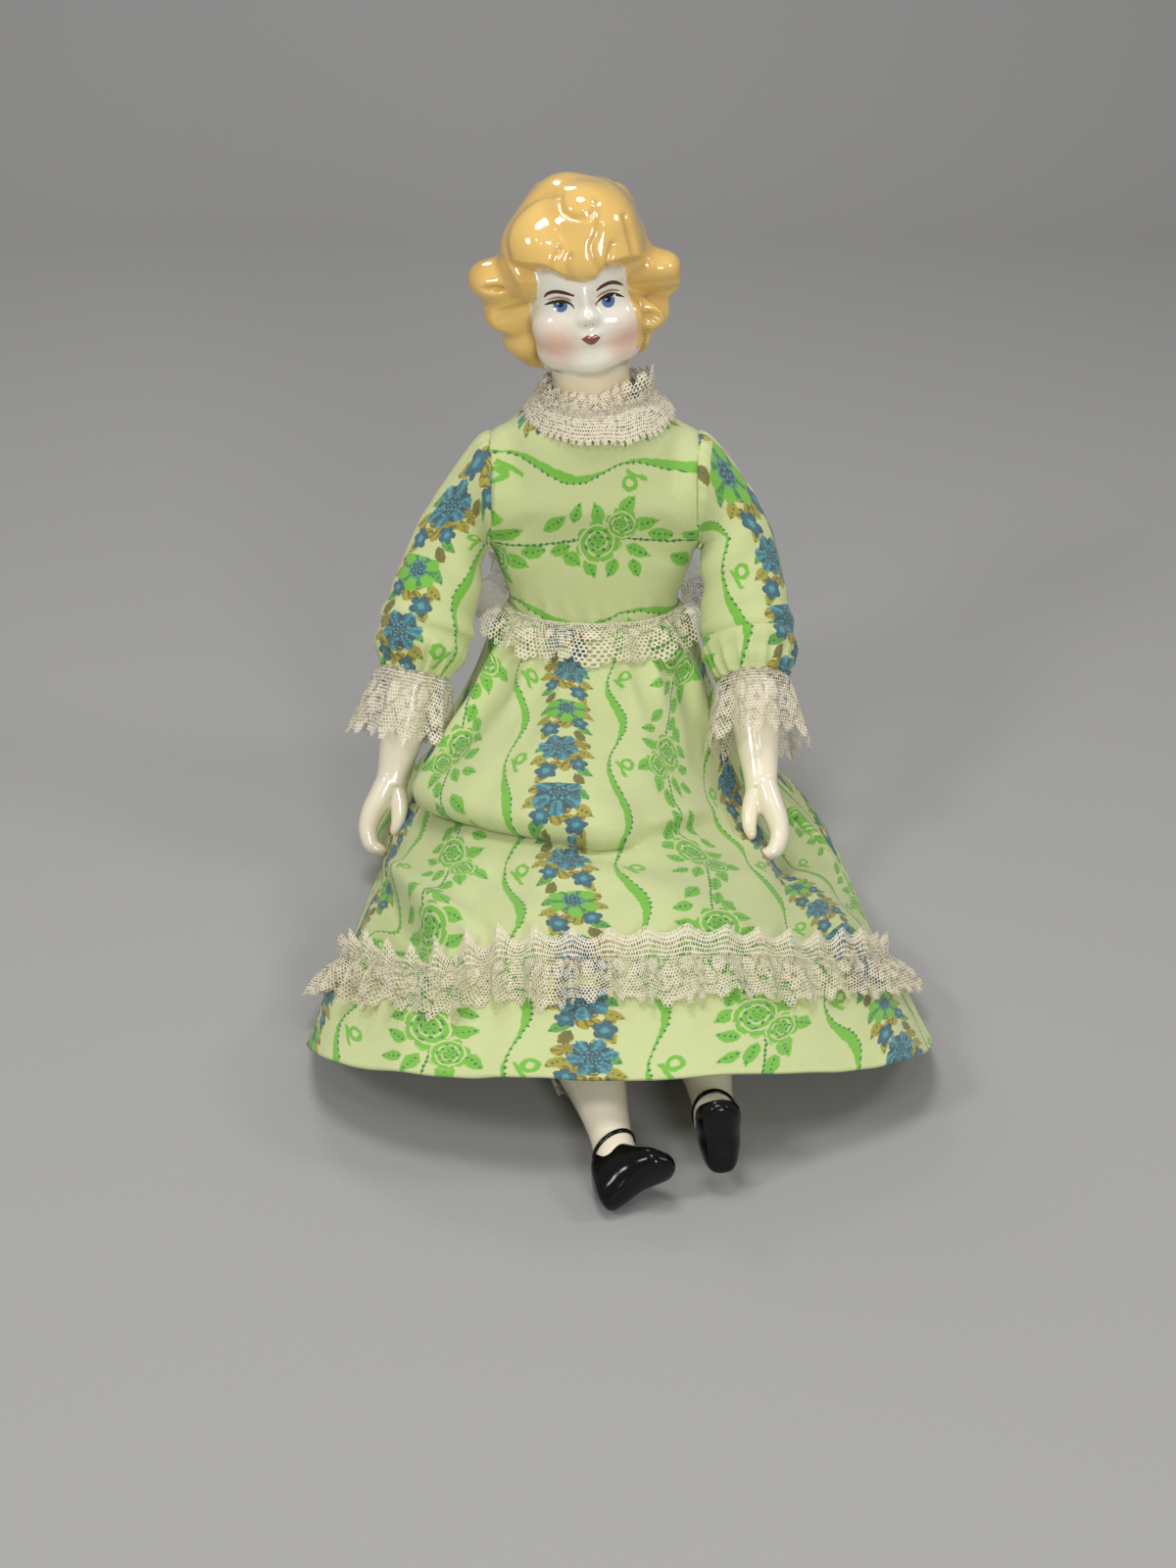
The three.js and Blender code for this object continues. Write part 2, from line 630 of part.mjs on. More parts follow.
function upperArmStuffing(side) {
  const inset = CASING + GAP;
  const stations = armStations(side, UPPER_ARM_TURN.map((r) => r - inset), [
    [6, ARM_R - inset],
    [24, ARM_R - inset + 0.3],
    [FOREARM_TOP_T - 1.2, FOREARM_FLANGE - 1],
    ...FOREARM_HOLLOW.map(([t, r]) => [FOREARM_TOP_T + t - 1.2, r - 2 * GAP]),
  ]);
  stations.splice(0, 2);
  return loft(ringsAlong(stations, LIMB_POINTS, ALONG_Y));
}

// Forearm with a curled hand, in a frame at its top: down is -z, e runs away from the body.
const FOREARM = [
  [GROOVE_END_T, 7.8],
  [16, 8.6],
  [28, 8.4],
  [41, 7.2],
  [50, 5.9],
  [54, 5.7],
];
const FINGERS = [
  [1, 53, 5.6],
  [2.6, 60, 5.6],
  [4.4, 66, 5],
  [4.8, 72, 4.2],
  [2.6, 77, 3.6],
  [-1, 78.5, 2.8],
];
const THUMB = [
  [-1, 54, 4],
  [-4, 61, 3.2],
  [-5, 67, 2.6],
  [-4.6, 71, 1.9],
];

function finger(rows, sign, n, flat) {
  const curve = new THREE.CatmullRomCurve3(rows.map(([e, t]) => v(sign * e, 0, -t)));
  const stations = rows.map(([, , r], i) => {
    const share = i / (rows.length - 1);
    return { at: curve.getPoint(share), aim: curve.getTangent(share), wide: r * flat, high: r };
  });
  return solid(loft(ringsAlong(stations, n, ALONG_Y)));
}

function forearm(side) {
  const rows = [...limbTop(FOREARM_FLANGE, FOREARM_GROOVE), ...FOREARM];
  const arm = solid(loft(rows.map(([t, r]) => round(LIMB_POINTS, t, r))));
  const sign = SIDES[side];
  const hand = finger(FINGERS, sign, 10, 1.1).add(finger(THUMB, sign, 8, 1));
  return geometryOf(arm.add(hand).subtract(hollow(FOREARM_HOLLOW)));
}

function cuffLace() {
  const top = CUFF_SEAM_T - FOREARM_TOP_T;
  return frill(CUFF_RUFFLES * 4, (turn) => {
    const wave = Math.cos(CUFF_RUFFLES * turn);
    const across = v(Math.cos(turn), Math.sin(turn), 0);
    return {
      inner: oval(turn, 11.6, 11.6, -top - 0.6),
      outer: oval(turn, 17.4 + wave * 1.6, 17.4 + wave * 1.6, -top - CUFF_LENGTH + wave * 0.6),
      across,
    };
  });
}

// Lower leg with a strapped, heeled shoe, in a frame at its top: down is -z, the toe points to -y.
const SHIN = [
  [GROOVE_END_T, 9.8, 0],
  [16, 11.4, 0.3],
  [30, 12.2, 0.8],
  [45, 11, 0.8],
  [60, 8.4, 0.3],
  [72, 6.6, 0],
  [80, 6.2, 0],
  [86, 6.4, 0],
  [92, 5.6, 0.6],
];
const SHOE = [
  [8.2, 84, 94, 2.6],
  [6, 80.5, 96.4, 5.2],
  [1, 78.5, 95.6, 6.2],
  [-6, 82, 94.6, 6.4],
  [-13, 87, 97, 7],
  [-19, 90, 98.6, 6.2],
  [-22.6, 92.4, 98, 3.2],
];
const HEEL = [
  [94, 4.4, 3.4],
  [LEG_LENGTH, 3.8, 2.8],
];
const HEEL_Y = 3.6;

function lowerLeg() {
  const rows = [...limbTop(SHIN_FLANGE, SHIN_GROOVE).map(([t, r]) => [t, r, 0]), ...SHIN];
  const shin = solid(loft(rows.map(([t, r, y]) => round(LIMB_POINTS, t, r, y))));
  const slices = SHOE.map(([y, top, sole, wide]) => {
    const middle = v(0, y, -(top + sole) / 2);
    return ring(12, middle, v(wide, 0, 0), v(0, 0, (sole - top) / 2), 2.4);
  });
  const shoe = solid(loft(slices));
  const heel = solid(loft(HEEL.map(([t, wide, deep]) => level(10, v(0, HEEL_Y, -t), wide, deep))));
  return geometryOf(shin.add(shoe).add(heel).subtract(hollow(SHIN_HOLLOW)));
}

// Thigh: flat at the hip seam, full in the middle, drawn in round the shin's groove.
const THIGH = [
  [0, 13, 3.4],
  [0.06, 15.5, 7],
  [0.22, THIGH_R, 12.5],
  [0.45, THIGH_R, 15],
  [0.7, 15, 14.4],
  [0.88, 12.4, 12.4],
];

function legLine(side) {
  const knee = point(KNEE[side]);
  const aim = point(SHIN_AIM[side]).normalize();
  const hip = point(HIP_SEAM[side]);
  const beyond = knee.clone().addScaledVector(aim, 30);
  const curve = new THREE.CatmullRomCurve3([hip, hip.clone().lerp(knee, 0.5), knee, beyond]);
  const share = (s) => (s * 2) / 3;
  return {
    knee,
    aim,
    along: (s) => ({ at: curve.getPoint(share(s)), aim: curve.getTangent(share(s)) }),
    below: (t) => ({ at: knee.clone().addScaledVector(aim, t), aim }),
  };
}

function thighStations(side, grow, lip) {
  const line = legLine(side);
  return [
    ...THIGH.map(([s, wide, high]) => ({ ...line.along(s), wide: wide + grow, high: high + grow })),
    ...lipRows(SHIN_FLANGE, SHIN_GROOVE, lip).map(([t, r]) => ({ ...line.below(t), wide: r })),
  ];
}

function thigh(side) {
  const outside = thighStations(side, 0, LIP);
  const inside = thighStations(side, -CASING, 0);
  inside[0] = { ...legLine(side).along(0.02), wide: THIGH[0][1] - CASING, high: THIGH[0][2] - CASING };
  return loft(ringsAlong([...inside, ...outside.reverse()], LIMB_POINTS, ALONG_X));
}

function thighStuffing(side) {
  const line = legLine(side);
  const inset = CASING + GAP;
  const rows = THIGH.slice(1).map(([s, wide, high]) => {
    return { ...line.along(s), wide: wide - inset, high: high - inset };
  });
  const shoulder = { ...line.below(-1.2), wide: SHIN_FLANGE - 0.6 };
  const plug = SHIN_HOLLOW.map(([t, r]) => ({ ...line.below(t - 1.2), wide: r - 2 * GAP }));
  return loft(ringsAlong([...rows, shoulder, ...plug], LIMB_POINTS, ALONG_X));
}

// One leg of the drawers, loose over the thigh and the tie, with a frill of lace at its end.
const DRAWERS_EASE = 0.8;
const DRAWERS_END_R = 13;

function drawersLeg(side) {
  const line = legLine(side);
  const below = [
    [4, 13],
    [20, 13.8],
    [DRAWERS_END_T, DRAWERS_END_R],
  ];
  const grown = (grow) => [
    ...THIGH.slice(2).map(([s, wide, high]) => ({ ...line.along(s), wide: wide + grow, high: high + grow })),
    ...below.map(([t, r]) => ({ ...line.below(t), wide: r + grow })),
  ];
  const outside = ringsAlong(grown(DRAWERS_EASE + DRAWERS_CLOTH), 16, ALONG_X);
  const inside = ringsAlong(grown(DRAWERS_EASE), 16, ALONG_X);
  return loft([...outside, ...inside.reverse()], true);
}

function drawersLace() {
  const ruffles = 9;
  return frill(ruffles * 4, (turn) => {
    const wave = Math.cos(ruffles * turn) * 0.5;
    const across = v(Math.cos(turn), Math.sin(turn), 0);
    const r = DRAWERS_END_R + DRAWERS_EASE + DRAWERS_CLOTH / 2;
    return {
      inner: oval(turn, r, r, -DRAWERS_END_T - GAP),
      outer: oval(turn, r - 2 + wave, r - 2 + wave, -DRAWERS_END_T - GAP - DRAWERS_LACE),
      across,
    };
  });
}

// Skirt: rings from the waist over the lap to the hem. Each has a top, a side and a bottom place
// as depth and height, its reach to the doll's right and left, and how round its top is.
const SKIRT_WAIST = { wide: WAIST_WIDE + BODICE_EASE + COTTON, deep: WAIST_DEEP + BODICE_EASE + COTTON };
const WAIST_ROUND = 2 / WAIST_SQUARE;
const SKIRT = [
  {
    top: [-SKIRT_WAIST.deep, WAIST_Z],
    side: [0, WAIST_Z],
    bottom: [SKIRT_WAIST.deep, WAIST_Z],
    reach: [SKIRT_WAIST.wide, SKIRT_WAIST.wide],
    round: [WAIST_ROUND, WAIST_ROUND],
    folds: 0,
  },
  { top: [-35, 74], side: [0, 70], bottom: [33, 70], reach: [36, 35], round: [1, 1], folds: 0.7 },
  { top: [-57, 70], side: [-4, 47], bottom: [45, 46], reach: [42, 40], round: [1.05, 1.3], folds: 1.4 },
  { top: [-84, 66], side: [-12, 22], bottom: [53, 18], reach: [52, 48], round: [1.1, 1.7], folds: 1.4 },
  { top: [-104, 59], side: [-22, 8], bottom: [53, 2], reach: [60, 62], round: [1.1, 2.4], folds: 1 },
  { top: [-117, 51], side: [-40, 4.5], bottom: [38, -3], reach: [65, 75], round: [1, 2.6], folds: 0.8 },
  { top: [-136, 49], side: [-66, 4], bottom: [0, -4], reach: [73, 86], round: [0.9, 1.8], folds: 1 },
  { top: [-161, 46], side: [-98, 4], bottom: [-60, -4], reach: [81, 94], round: [0.8, 1.1], folds: 1.2 },
  { top: [-190, 41], side: [-128, 4], bottom: [-110, -4], reach: [86, 100], round: [0.7, 0.8], folds: 1.2 },
  { top: [-217, 34.5], side: [-152, 4], bottom: [-150, -4], reach: [90, 105], round: [0.6, 0.6], folds: 1 },
];
const SKIRT_POINTS = 44;
const SKIRT_FOLDS = 11;
const UNDER_ROUND = 0.45;

// A row of the skirt between its rings, at a place from 0 at the waist to 1 at the hem.
function skirtRow(s) {
  const at = THREE.MathUtils.clamp(s, 0, 1) * (SKIRT.length - 1);
  const i = Math.min(Math.floor(at), SKIRT.length - 2);
  const [a, b] = [SKIRT[i], SKIRT[i + 1]];
  const pair = (key) => [0, 1].map((k) => mix(a[key][k], b[key][k], at - i));
  return {
    top: pair("top"),
    side: pair("side"),
    bottom: pair("bottom"),
    reach: pair("reach"),
    round: pair("round"),
    folds: mix(a.folds, b.folds, at - i),
  };
}

// A point of the skirt's outside. Turn 0 is the doll's left edge, a quarter turn is the lap.
function skirtPoint(s, turn) {
  const row = skirtRow(s);
  const up = Math.sin(turn);
  const over = up >= 0;
  const half = Math.cos(turn) < 0 ? 0 : 1;
  const under = mix(WAIST_ROUND, UNDER_ROUND, Math.min(s * 2.2, 1));
  const share = Math.abs(up) ** (over ? row.round[half] : under);
  const end = over ? row.top : row.bottom;
  const square = mix(WAIST_SQUARE, 2, Math.min(s * 5, 1));
  const across = squared(Math.cos(turn), square);
  const reach = row.reach[half];
  const fold = row.folds * Math.cos(SKIRT_FOLDS * turn) * (over ? 1 : Math.max(1 - s * 2.5, 0));
  const y = mix(row.side[0], end[0], share) - fold * 0.5 * up;
  const z = mix(row.side[1], end[1], share) + (over ? fold : 0);
  return v((reach + fold * 0.4) * across, y, Math.max(z, 0));
}

// The same point moved along the cloth's outward normal.
function skirtOffset(s, turn, distance) {
  const step = 0.004;
  const ds = skirtPoint(Math.min(s + step, 1), turn).sub(skirtPoint(Math.max(s - step, 0), turn));
  const dt = skirtPoint(s, turn + step).sub(skirtPoint(s, turn - step));
  const normal = v(0, 0, 0).crossVectors(dt, ds).normalize();
  return skirtPoint(s, turn).addScaledVector(normal, distance);
}

function skirt() {
  const rows = SKIRT.map((_, i) => i / (SKIRT.length - 1));
  const turns = Array.from({ length: SKIRT_POINTS }, (_, k) => (2 * Math.PI * k) / SKIRT_POINTS);
  const outside = rows.map((s) => turns.map((turn) => skirtPoint(s, turn)));
  const lined = (p) => p.setZ(Math.max(p.z, SKIRT_CLOTH));
  const inside = rows.map((s) => turns.map((turn) => lined(skirtOffset(s, turn, -SKIRT_CLOTH))));
  return loft([...outside, ...inside.reverse()], true);
}

// The flounce: a strip of lace sewn across the skirt from one edge of it to the other.
const HEM_LACE_TOP = 0.79;
const HEM_LACE_LOW = 0.915;

function hemLace() {
  const count = HEM_RUFFLES * 4;
  const sections = Array.from({ length: count + 1 }, (_, k) => {
    const turn = mix(0.03, Math.PI - 0.03, k / count);
    const wave = 0.5 - 0.5 * Math.cos((2 * Math.PI * HEM_RUFFLES * k) / count);
    const top = GAP + 0.6;
    const low = HEM_LACE_STAND + 2.4 * wave;
    return [
      skirtOffset(HEM_LACE_TOP, turn, top),
      skirtOffset(HEM_LACE_LOW, turn, low),
      skirtOffset(HEM_LACE_LOW, turn, low + LACE),
      skirtOffset(HEM_LACE_TOP, turn, top + LACE),
    ];
  });
  return loft(sections);
}

// Assembly
function armGroup(side) {
  const { sign, at, low } = armAxis(side);
  const shoulder = new THREE.Group();
  shoulder.name = `${side}_shoulder`;
  shoulder.position.set(sign * ARMHOLE_X, ARMHOLE_Y, ARMHOLE_Z);
  shoulder.rotation.x = -rad(ARM_FORWARD[side]);
  shoulder.add(
    piece(`${side}_sleeve`, sleeve(side), "cotton"),
    piece(`${side}_upper_arm`, upperArm(side), "muslin"),
    piece(`${side}_arm_stuffing`, upperArmStuffing(side), "stuffing"),
  );
  const elbow = new THREE.Group();
  elbow.name = `${side}_elbow`;
  elbow.position.copy(at(ELBOW_T));
  const hang = new THREE.Group();
  hang.position.copy(low).multiplyScalar(FOREARM_TOP_T - ELBOW_T);
  hang.quaternion.setFromUnitVectors(v(0, 0, -1), low);
  hang.add(
    piece(`${side}_forearm`, forearm(side), "porcelain"),
    piece(`${side}_arm_tie`, tie(FOREARM_GROOVE), "thread"),
    piece(`${side}_cuff_lace`, cuffLace(), "lace"),
  );
  elbow.add(hang);
  shoulder.add(elbow);
  return shoulder;
}

function legGroup(side) {
  const leg = new THREE.Group();
  leg.add(
    piece(`${side}_thigh`, thigh(side), "muslin"),
    piece(`${side}_thigh_stuffing`, thighStuffing(side), "stuffing"),
    piece(`${side}_drawers_leg`, drawersLeg(side), "linen"),
  );
  const { knee, aim } = legLine(side);
  const hang = new THREE.Group();
  hang.name = `${side}_knee`;
  hang.position.copy(knee);
  // The toe starts at -y, so it is first laid upwards and then turned about the shin.
  const lie = new THREE.Quaternion().setFromUnitVectors(v(0, -1, 0), aim);
  const upright = new THREE.Quaternion().setFromAxisAngle(ALONG_X, -Math.PI / 2);
  hang.quaternion.copy(lie).multiply(upright);
  hang.add(
    piece(`${side}_leg_tie`, tie(SHIN_GROOVE), "thread"),
    piece(`${side}_drawers_lace`, drawersLace(), "lace"),
  );
  const turn = new THREE.Group();
  turn.name = `${side}_leg_turn`;
  turn.rotation.z = rad(TOE_TURN[side]);
  turn.add(piece(`${side}_lower_leg`, lowerLeg(), "porcelain"));
  hang.add(turn);
  leg.add(hang);
  return leg;
}

function torsoGroup() {
  const torso = new THREE.Group();
  torso.name = "torso";
  torso.add(
    piece("torso_casing", torsoCasing(), "muslin"),
    piece("torso_stuffing", torsoStuffing(), "stuffing"),
    piece("shoulder_head", shoulderHead(), "porcelain"),
    piece("head_stuffing", headStuffing(), "stuffing"),
    piece("bodice", bodice(), "cotton"),
    piece("waist_lace", waistLace(), "lace"),
    piece("collar_lower_tier", collarLower(), "lace"),
    piece("collar_upper_tier", collarUpper(), "lace"),
    piece("back_placket", backPlacket(), "cotton"),
  );
  SNAP_HEIGHTS.forEach((z, i) => torso.add(piece(`back_snap_${i + 1}`, backSnap(z), "snap")));
  stitchPlaces().forEach(([x, side]) => {
    const name = `plate_stitch_${side > 0 ? "front" : "back"}_${x < 0 ? "right" : "left"}`;
    torso.add(piece(name, stitch(x, side), "thread"));
  });
  Object.keys(SIDES).forEach((side) => torso.add(armGroup(side)));
  return torso;
}

const doll = new THREE.Group();
doll.name = "doll";
doll.add(piece("skirt", skirt(), "cotton"), piece("hem_lace", hemLace(), "lace"), torsoGroup());
Object.keys(SIDES).forEach((side) => doll.add(legGroup(side)));

export default doll;
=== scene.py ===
"""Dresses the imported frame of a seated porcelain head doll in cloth, lace and glaze."""
import math

import bmesh
import bpy
import numpy as np
from mathutils import Matrix, Vector
from mathutils.bvhtree import BVHTree

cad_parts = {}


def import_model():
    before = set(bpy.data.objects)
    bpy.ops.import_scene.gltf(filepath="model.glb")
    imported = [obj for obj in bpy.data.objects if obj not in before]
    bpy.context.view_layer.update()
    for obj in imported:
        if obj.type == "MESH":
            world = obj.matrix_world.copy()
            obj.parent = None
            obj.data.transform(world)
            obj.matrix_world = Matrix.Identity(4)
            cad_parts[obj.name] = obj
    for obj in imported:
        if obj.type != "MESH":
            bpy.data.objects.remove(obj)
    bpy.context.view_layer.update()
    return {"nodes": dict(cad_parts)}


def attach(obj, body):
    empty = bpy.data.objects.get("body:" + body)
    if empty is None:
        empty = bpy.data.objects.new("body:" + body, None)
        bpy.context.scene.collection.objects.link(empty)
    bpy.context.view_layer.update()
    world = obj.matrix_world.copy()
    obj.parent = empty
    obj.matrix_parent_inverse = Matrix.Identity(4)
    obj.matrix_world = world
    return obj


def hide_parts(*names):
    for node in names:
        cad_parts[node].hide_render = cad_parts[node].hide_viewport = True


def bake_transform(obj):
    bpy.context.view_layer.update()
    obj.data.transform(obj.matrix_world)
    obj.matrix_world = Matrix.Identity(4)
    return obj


bl_info = {
    "name": "Seated china doll",
    "version": (1, 0, 0),
    "blender": (4, 5, 0),
    "location": "3D View > Sidebar > China doll",
    "description": "Builds the glazed, sewn and lace pieces of a seated doll on its packed frame",
    "category": "Object",
}

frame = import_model()

# All tables below are in millimetres and degrees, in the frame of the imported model.
MM = 0.001
SIDES = {"right": -1, "left": 1}
UP = np.array([0.0, 0.0, 1.0])
FRONT = np.array([0.0, -1.0, 0.0])

# Camera, in metres and degrees, which stands where the photograph was taken
CAMERA_AT = (-0.0022, -0.761, 0.446)
CAMERA_TILT = 60.0
CAMERA_LENS = 54.0
CAMERA_SENSOR = 36.0

# Body
WAIST_Z = 82.0
WAIST_WIDE = 28.0
WAIST_DEEP = 20.0
WAIST_SQUARE = 2.3
PLATE_Z = 126.0
PLATE_GROW = 3.4
CHEST_Z = 114.0
BODICE_EASE = 1.3
BODICE_TOP_Z = 147.2
COTTON = 1.0
# Rows: height, half width, half depth, middle, squareness
TORSO = [
    [2.4, 22, 3.9, -4, 4], [5, 28, 10.5, -4, 4], [10, 33, 16, -4, 4], [16, 35, 19.1, -4, 4],
    [22, 35.5, 20, -4, 4], [42, 33, 20, -2, 3], [62, 30, 20, 0, 2.3], [82, 28, 20, 0, 2.3],
    [100, 28, 20, 0, 2.3], [114, 28.5, 19, 0, 2.3], [126, 29, 18.5, 1, 2.3], [134, 27.5, 17, 1, 2.3],
    [140, 23.5, 15, 1, 2.3], [144, 18, 12.5, 1, 2.3], [147, 12, 10.5, 1, 2.3],
]

# Head: each lump is a centre and three radii, in the head's own frame
HEAD_CENTRE = np.array([-6.0, 3.0, 200.0])
HEAD_ROLL = -6.0
HEAD_TURN = 6.0
HEAD_ROWS, HEAD_COLS = 230, 300
# How far from straight up the head's grid runs before the neck takes over
NECK_ANGLE = 151.0
SKIN_LUMPS = [
    [0, 2, 3, 18, 21, 24], [0.8, -5, -13, 17.2, 15.4, 16.4], [1.4, -13.4, -22.8, 9.5, 7, 6.4],
    [-7, -8.5, -20.5, 9.5, 9, 8], [9.5, -8.5, -20.5, 9.5, 9, 8],
    [-8, -10.5, -12, 9.2, 9, 9.2], [10, -10.5, -12, 9.2, 9, 9.2], [0.8, -16.8, -3.4, 2, 3.8, 6],
    [1, -19, -7.2, 2.5, 3.4, 2.4], [-0.9, -18.4, -8, 1.8, 2, 1.6], [2.9, -18.4, -8, 1.8, 2, 1.6],
    [0.1, -19, -13.5, 1.6, 1.7, 0.9], [2.3, -19, -13.5, 1.6, 1.7, 0.9], [1.2, -18.8, -15.5, 2, 2, 1.1],
]
# Blush on the cheeks: centres and half size, in metres
CHEEKS = ((-0.0102, -0.017, -0.016), (0.0134, -0.016, -0.0172))
CHEEK_SIZE = (0.0124, 0.015, 0.0122)
# Eyes, as x and z
EYES = {"right": (-7.4, -2.8), "left": (8.5, -3.3)}
# Hair lumps are given in an upright frame at the head's centre
HAIR_LUMPS = [
    [-0.5, 5, 6.8, 25, 24, 20], [-2.5, 4, 16.3, 15.5, 18, 17.4], [9, 2, 17.4, 9.5, 14, 13],
    [0, 13, -4, 23, 17, 26],
    [-13, -7, 12.6, 11, 13, 12], [6, -7, 18.4, 12, 12, 11], [1, -7.5, 26, 6.6, 6.2, 5.4],
    [1, -14, 9.4, 7.5, 6.6, 6.4], [-9, -12.6, 9.6, 6.5, 6.6, 5.2], [10, -12.6, 10, 5, 6.2, 5.6],
    [15.4, -9, 9, 5, 7, 6], [-16, -6, 6, 4.6, 7, 8],
    [-25, 0, -0.8, 10.4, 10, 6.6], [-30.6, 1, -0.4, 4.8, 6, 4.8], [-23.6, 0, -11.4, 8, 9.6, 7.2],
    [-17.5, 3, -21.6, 8, 9, 6.8], [-13.6, 6, -27, 7, 8, 6], [-18, -2, -11, 4, 6, 7],
    [26, 0, 4, 8.6, 9, 5.2], [27, 0, -1.6, 7.6, 9, 4.8],
    [24, 0, -11, 7, 9.6, 7.2], [18.6, 4, -20.6, 6.6, 9, 7], [18, -3, -10, 3.6, 6, 7],
]
# Hollows in the side curls, and rows of back curls: height, reach, size, count and first degrees
CURL_DIMPLES = [[-24, -10, -11.2, 3.2, 3.4, 2.2], [24.6, -10, -10.8, 2.8, 3.4, 2.2], [-27, -9, -1, 3, 2, 1]]
BACK_CURLS = [(19, 18, 10.0, 4, 58), (6, 23.5, 10.0, 5, 50), (-7, 24, 9.0, 6, 34), (-19, 20, 8.0, 5, 34)]
# The first lumps make the smooth dome
DOME_LUMPS = 12
HAIR_LEAST = 1.2
GROOVE_DEPTH = 0.72
WHORL_DEPTH = 0.8
# Grooves in the front of the hair, as x and height in the photograph's upright view of the head
HAIR_GROOVES = [
    [(6.3, 23.7), (7.5, 19.1), (6.7, 13.9), (5, 10), (6, 5.4), (8, 1.8)],
    [(-5, 26), (-11, 26.3), (-17, 23), (-21.7, 17.8), (-23.3, 11.3), (-22, 5.4)],
    [(-5.7, 8.7), (-7.7, 4.1), (-8.3, 1.8)], [(-1.7, 6.7), (-2.3, 2.8), (-1.7, -0.5)],
    [(11.7, 10.6), (10.3, 6), (9.7, 2.2)], [(15.7, 19.8), (17.3, 13.2), (19, 6.7)],
    [(-5, 24.3), (-3.7, 20.4), (1, 18.8), (5, 20.4), (6.7, 23.7)],
]
VIEW_UP = np.array([0.0, 0.306, 0.952])
# The edge of the hair round the face, as x and z in the head's frame
FACE_OUTLINE = [
    (-13.2, 4.0), (-13.6, 7.4), (-9.2, 8.0), (-4.6, 5.6), (0.7, 4.2), (5.2, 4.6), (7.3, 6.8), (10.7, 6.4),
    (14.8, 4.6), (15.2, -2), (16.4, -8), (17, -14), (16.4, -20), (14.4, -27), (13, -60), (-13, -60),
    (-14.4, -27), (-16.4, -20), (-17.6, -13), (-16.8, -6), (-14.2, -2),
]
# Rows: height, half width, half depth, x and y of the middle
NECK = [
    [178, 12.8, 12.8, -2, 0], [167, 13.3, 13.3, -1.2, 0], [158, 13.8, 13.8, -0.6, 0.5], [153, 16.5, 15, 0, 1],
    [150.5, 20, 16.5, 0, 1], [146.6, 27, 18.6, 0, 1], [140, 30, 19.6, 0, 1], [132, 31.6, 21.2, 0, 1],
    [126.2, 32.2, 21.8, 0, 1],
]

# Arms: lengths called t run down the arm, and tables give a radius at each
ARMHOLE = np.array([36.4, 1.0, 124.0])
ARMHOLE_R = 19.0
ARMHOLE_GAP = 0.4
ARMHOLE_CUT_X = 36.2
SHOULDER = [[0, 19], [0.21, 15.6], [0.4, 13.7], [0.58, 12.9], [0.77, 12.3], [1, 12.8]]
ELBOW_T = 33.0
FOREARM_TOP_T = 35.0
CUFF_SEAM_T = 50.0
ARM_SPLAY = {"right": 18.0, "left": 8.0}
ARM_FORWARD = {"right": 27.0, "left": 29.0}
ELBOW_BEND = {"right": 3.0, "left": 19.0}
FOREARM_SPLAY = {"right": 12.0, "left": 3.0}
SLEEVE = [[0, 12.8], [14, 14], [28, 15.6], [38, 16.6], [45, 14.6], [50, 11.6]]
UPPER_ARM = [[-19, 6.5], [-10, 9], [6, 9.4], [20, 9.2], [30, 8.6], [36, 8.2], [41, 7.8]]
FOREARM = [[2.4, 7.2], [5, 7.4], [7, 5.9], [9, 7.8], [16, 8.6], [28, 8.4], [41, 7.2], [50, 5.9], [54, 5.7]]
FINGERS = [[1, 53, 5.6], [2.6, 60, 5.6], [4.4, 66, 5], [4.8, 72, 4.2], [2.6, 77, 3.6], [-1, 78.5, 2.8]]
THUMB = [[-1, 54, 4], [-4, 61, 3.2], [-5, 67, 2.6], [-4.6, 71, 1.9]]
# Tanned ends of the fingers and the thumb, across and down the forearm
TINTED_TIPS = [(-1.5, 79.5), (-4.6, 72.5)]
CUFF_TOP_T = 15.6
CUFF_END_T = 40.0
# Where the print's garland lies on each sleeve: degrees round it, and its start
GARLAND_TURN = {"right": 38.0, "left": 62.0}
GARLAND_START = {"right": 12.0, "left": 40.0}

# Legs
KNEE = {"right": (-10, -142, 27), "left": (28, -130, 25)}
HIP_SEAM = {"right": (-19.5, -24.6, 17), "left": (19.5, -24, 17)}
SHIN_AIM = {"right": (0.19, -0.96, -0.2), "left": (0.085, -0.99, -0.1)}
TOE_TURN = {"right": 62.0, "left": -4.0}
# Rows: place down the shin, radius, shift to the back
SHIN = [
    [2.4, 9.4, 0], [5, 9.4, 0], [7, 7.8, 0], [9, 9.8, 0], [16, 11.4, 0.3], [30, 12.2, 0.8], [45, 11, 0.8],
    [60, 8.4, 0.3], [72, 6.6, 0], [80, 6.2, 0], [86, 6.4, 0], [92, 5.4, 0.6],
]
# Rows from heel to toe: place, top, sole, half width
SHOE = [
    [8.0, 86, 97, 2.6], [6.2, 82.5, 100, 5.0], [1.5, 80, 99.2, 6.2], [-3.6, 82.6, 97.4, 6.4],
    [-8.4, 87, 97.1, 6.6], [-12.4, 89.6, 97.2, 6.0], [-15.2, 92, 96.8, 3.2],
]
SHOE_SQUARE = 2.6
# Rows: share of the way to the knee, half width, half height
THIGH = [
    [0, 13, 3.4], [0.06, 15.5, 7], [0.22, 16.4, 12.5], [0.45, 16.4, 15], [0.7, 15, 14.4], [0.88, 12.4, 12.4],
]
DRAWERS_EASE = 1.3
DRAWERS_SHIN = [[0, 13.6], [20, 14.6], [50, 13.8]]
DRAWERS_END_T = 43.0
DRAWERS_LACE = 9.0

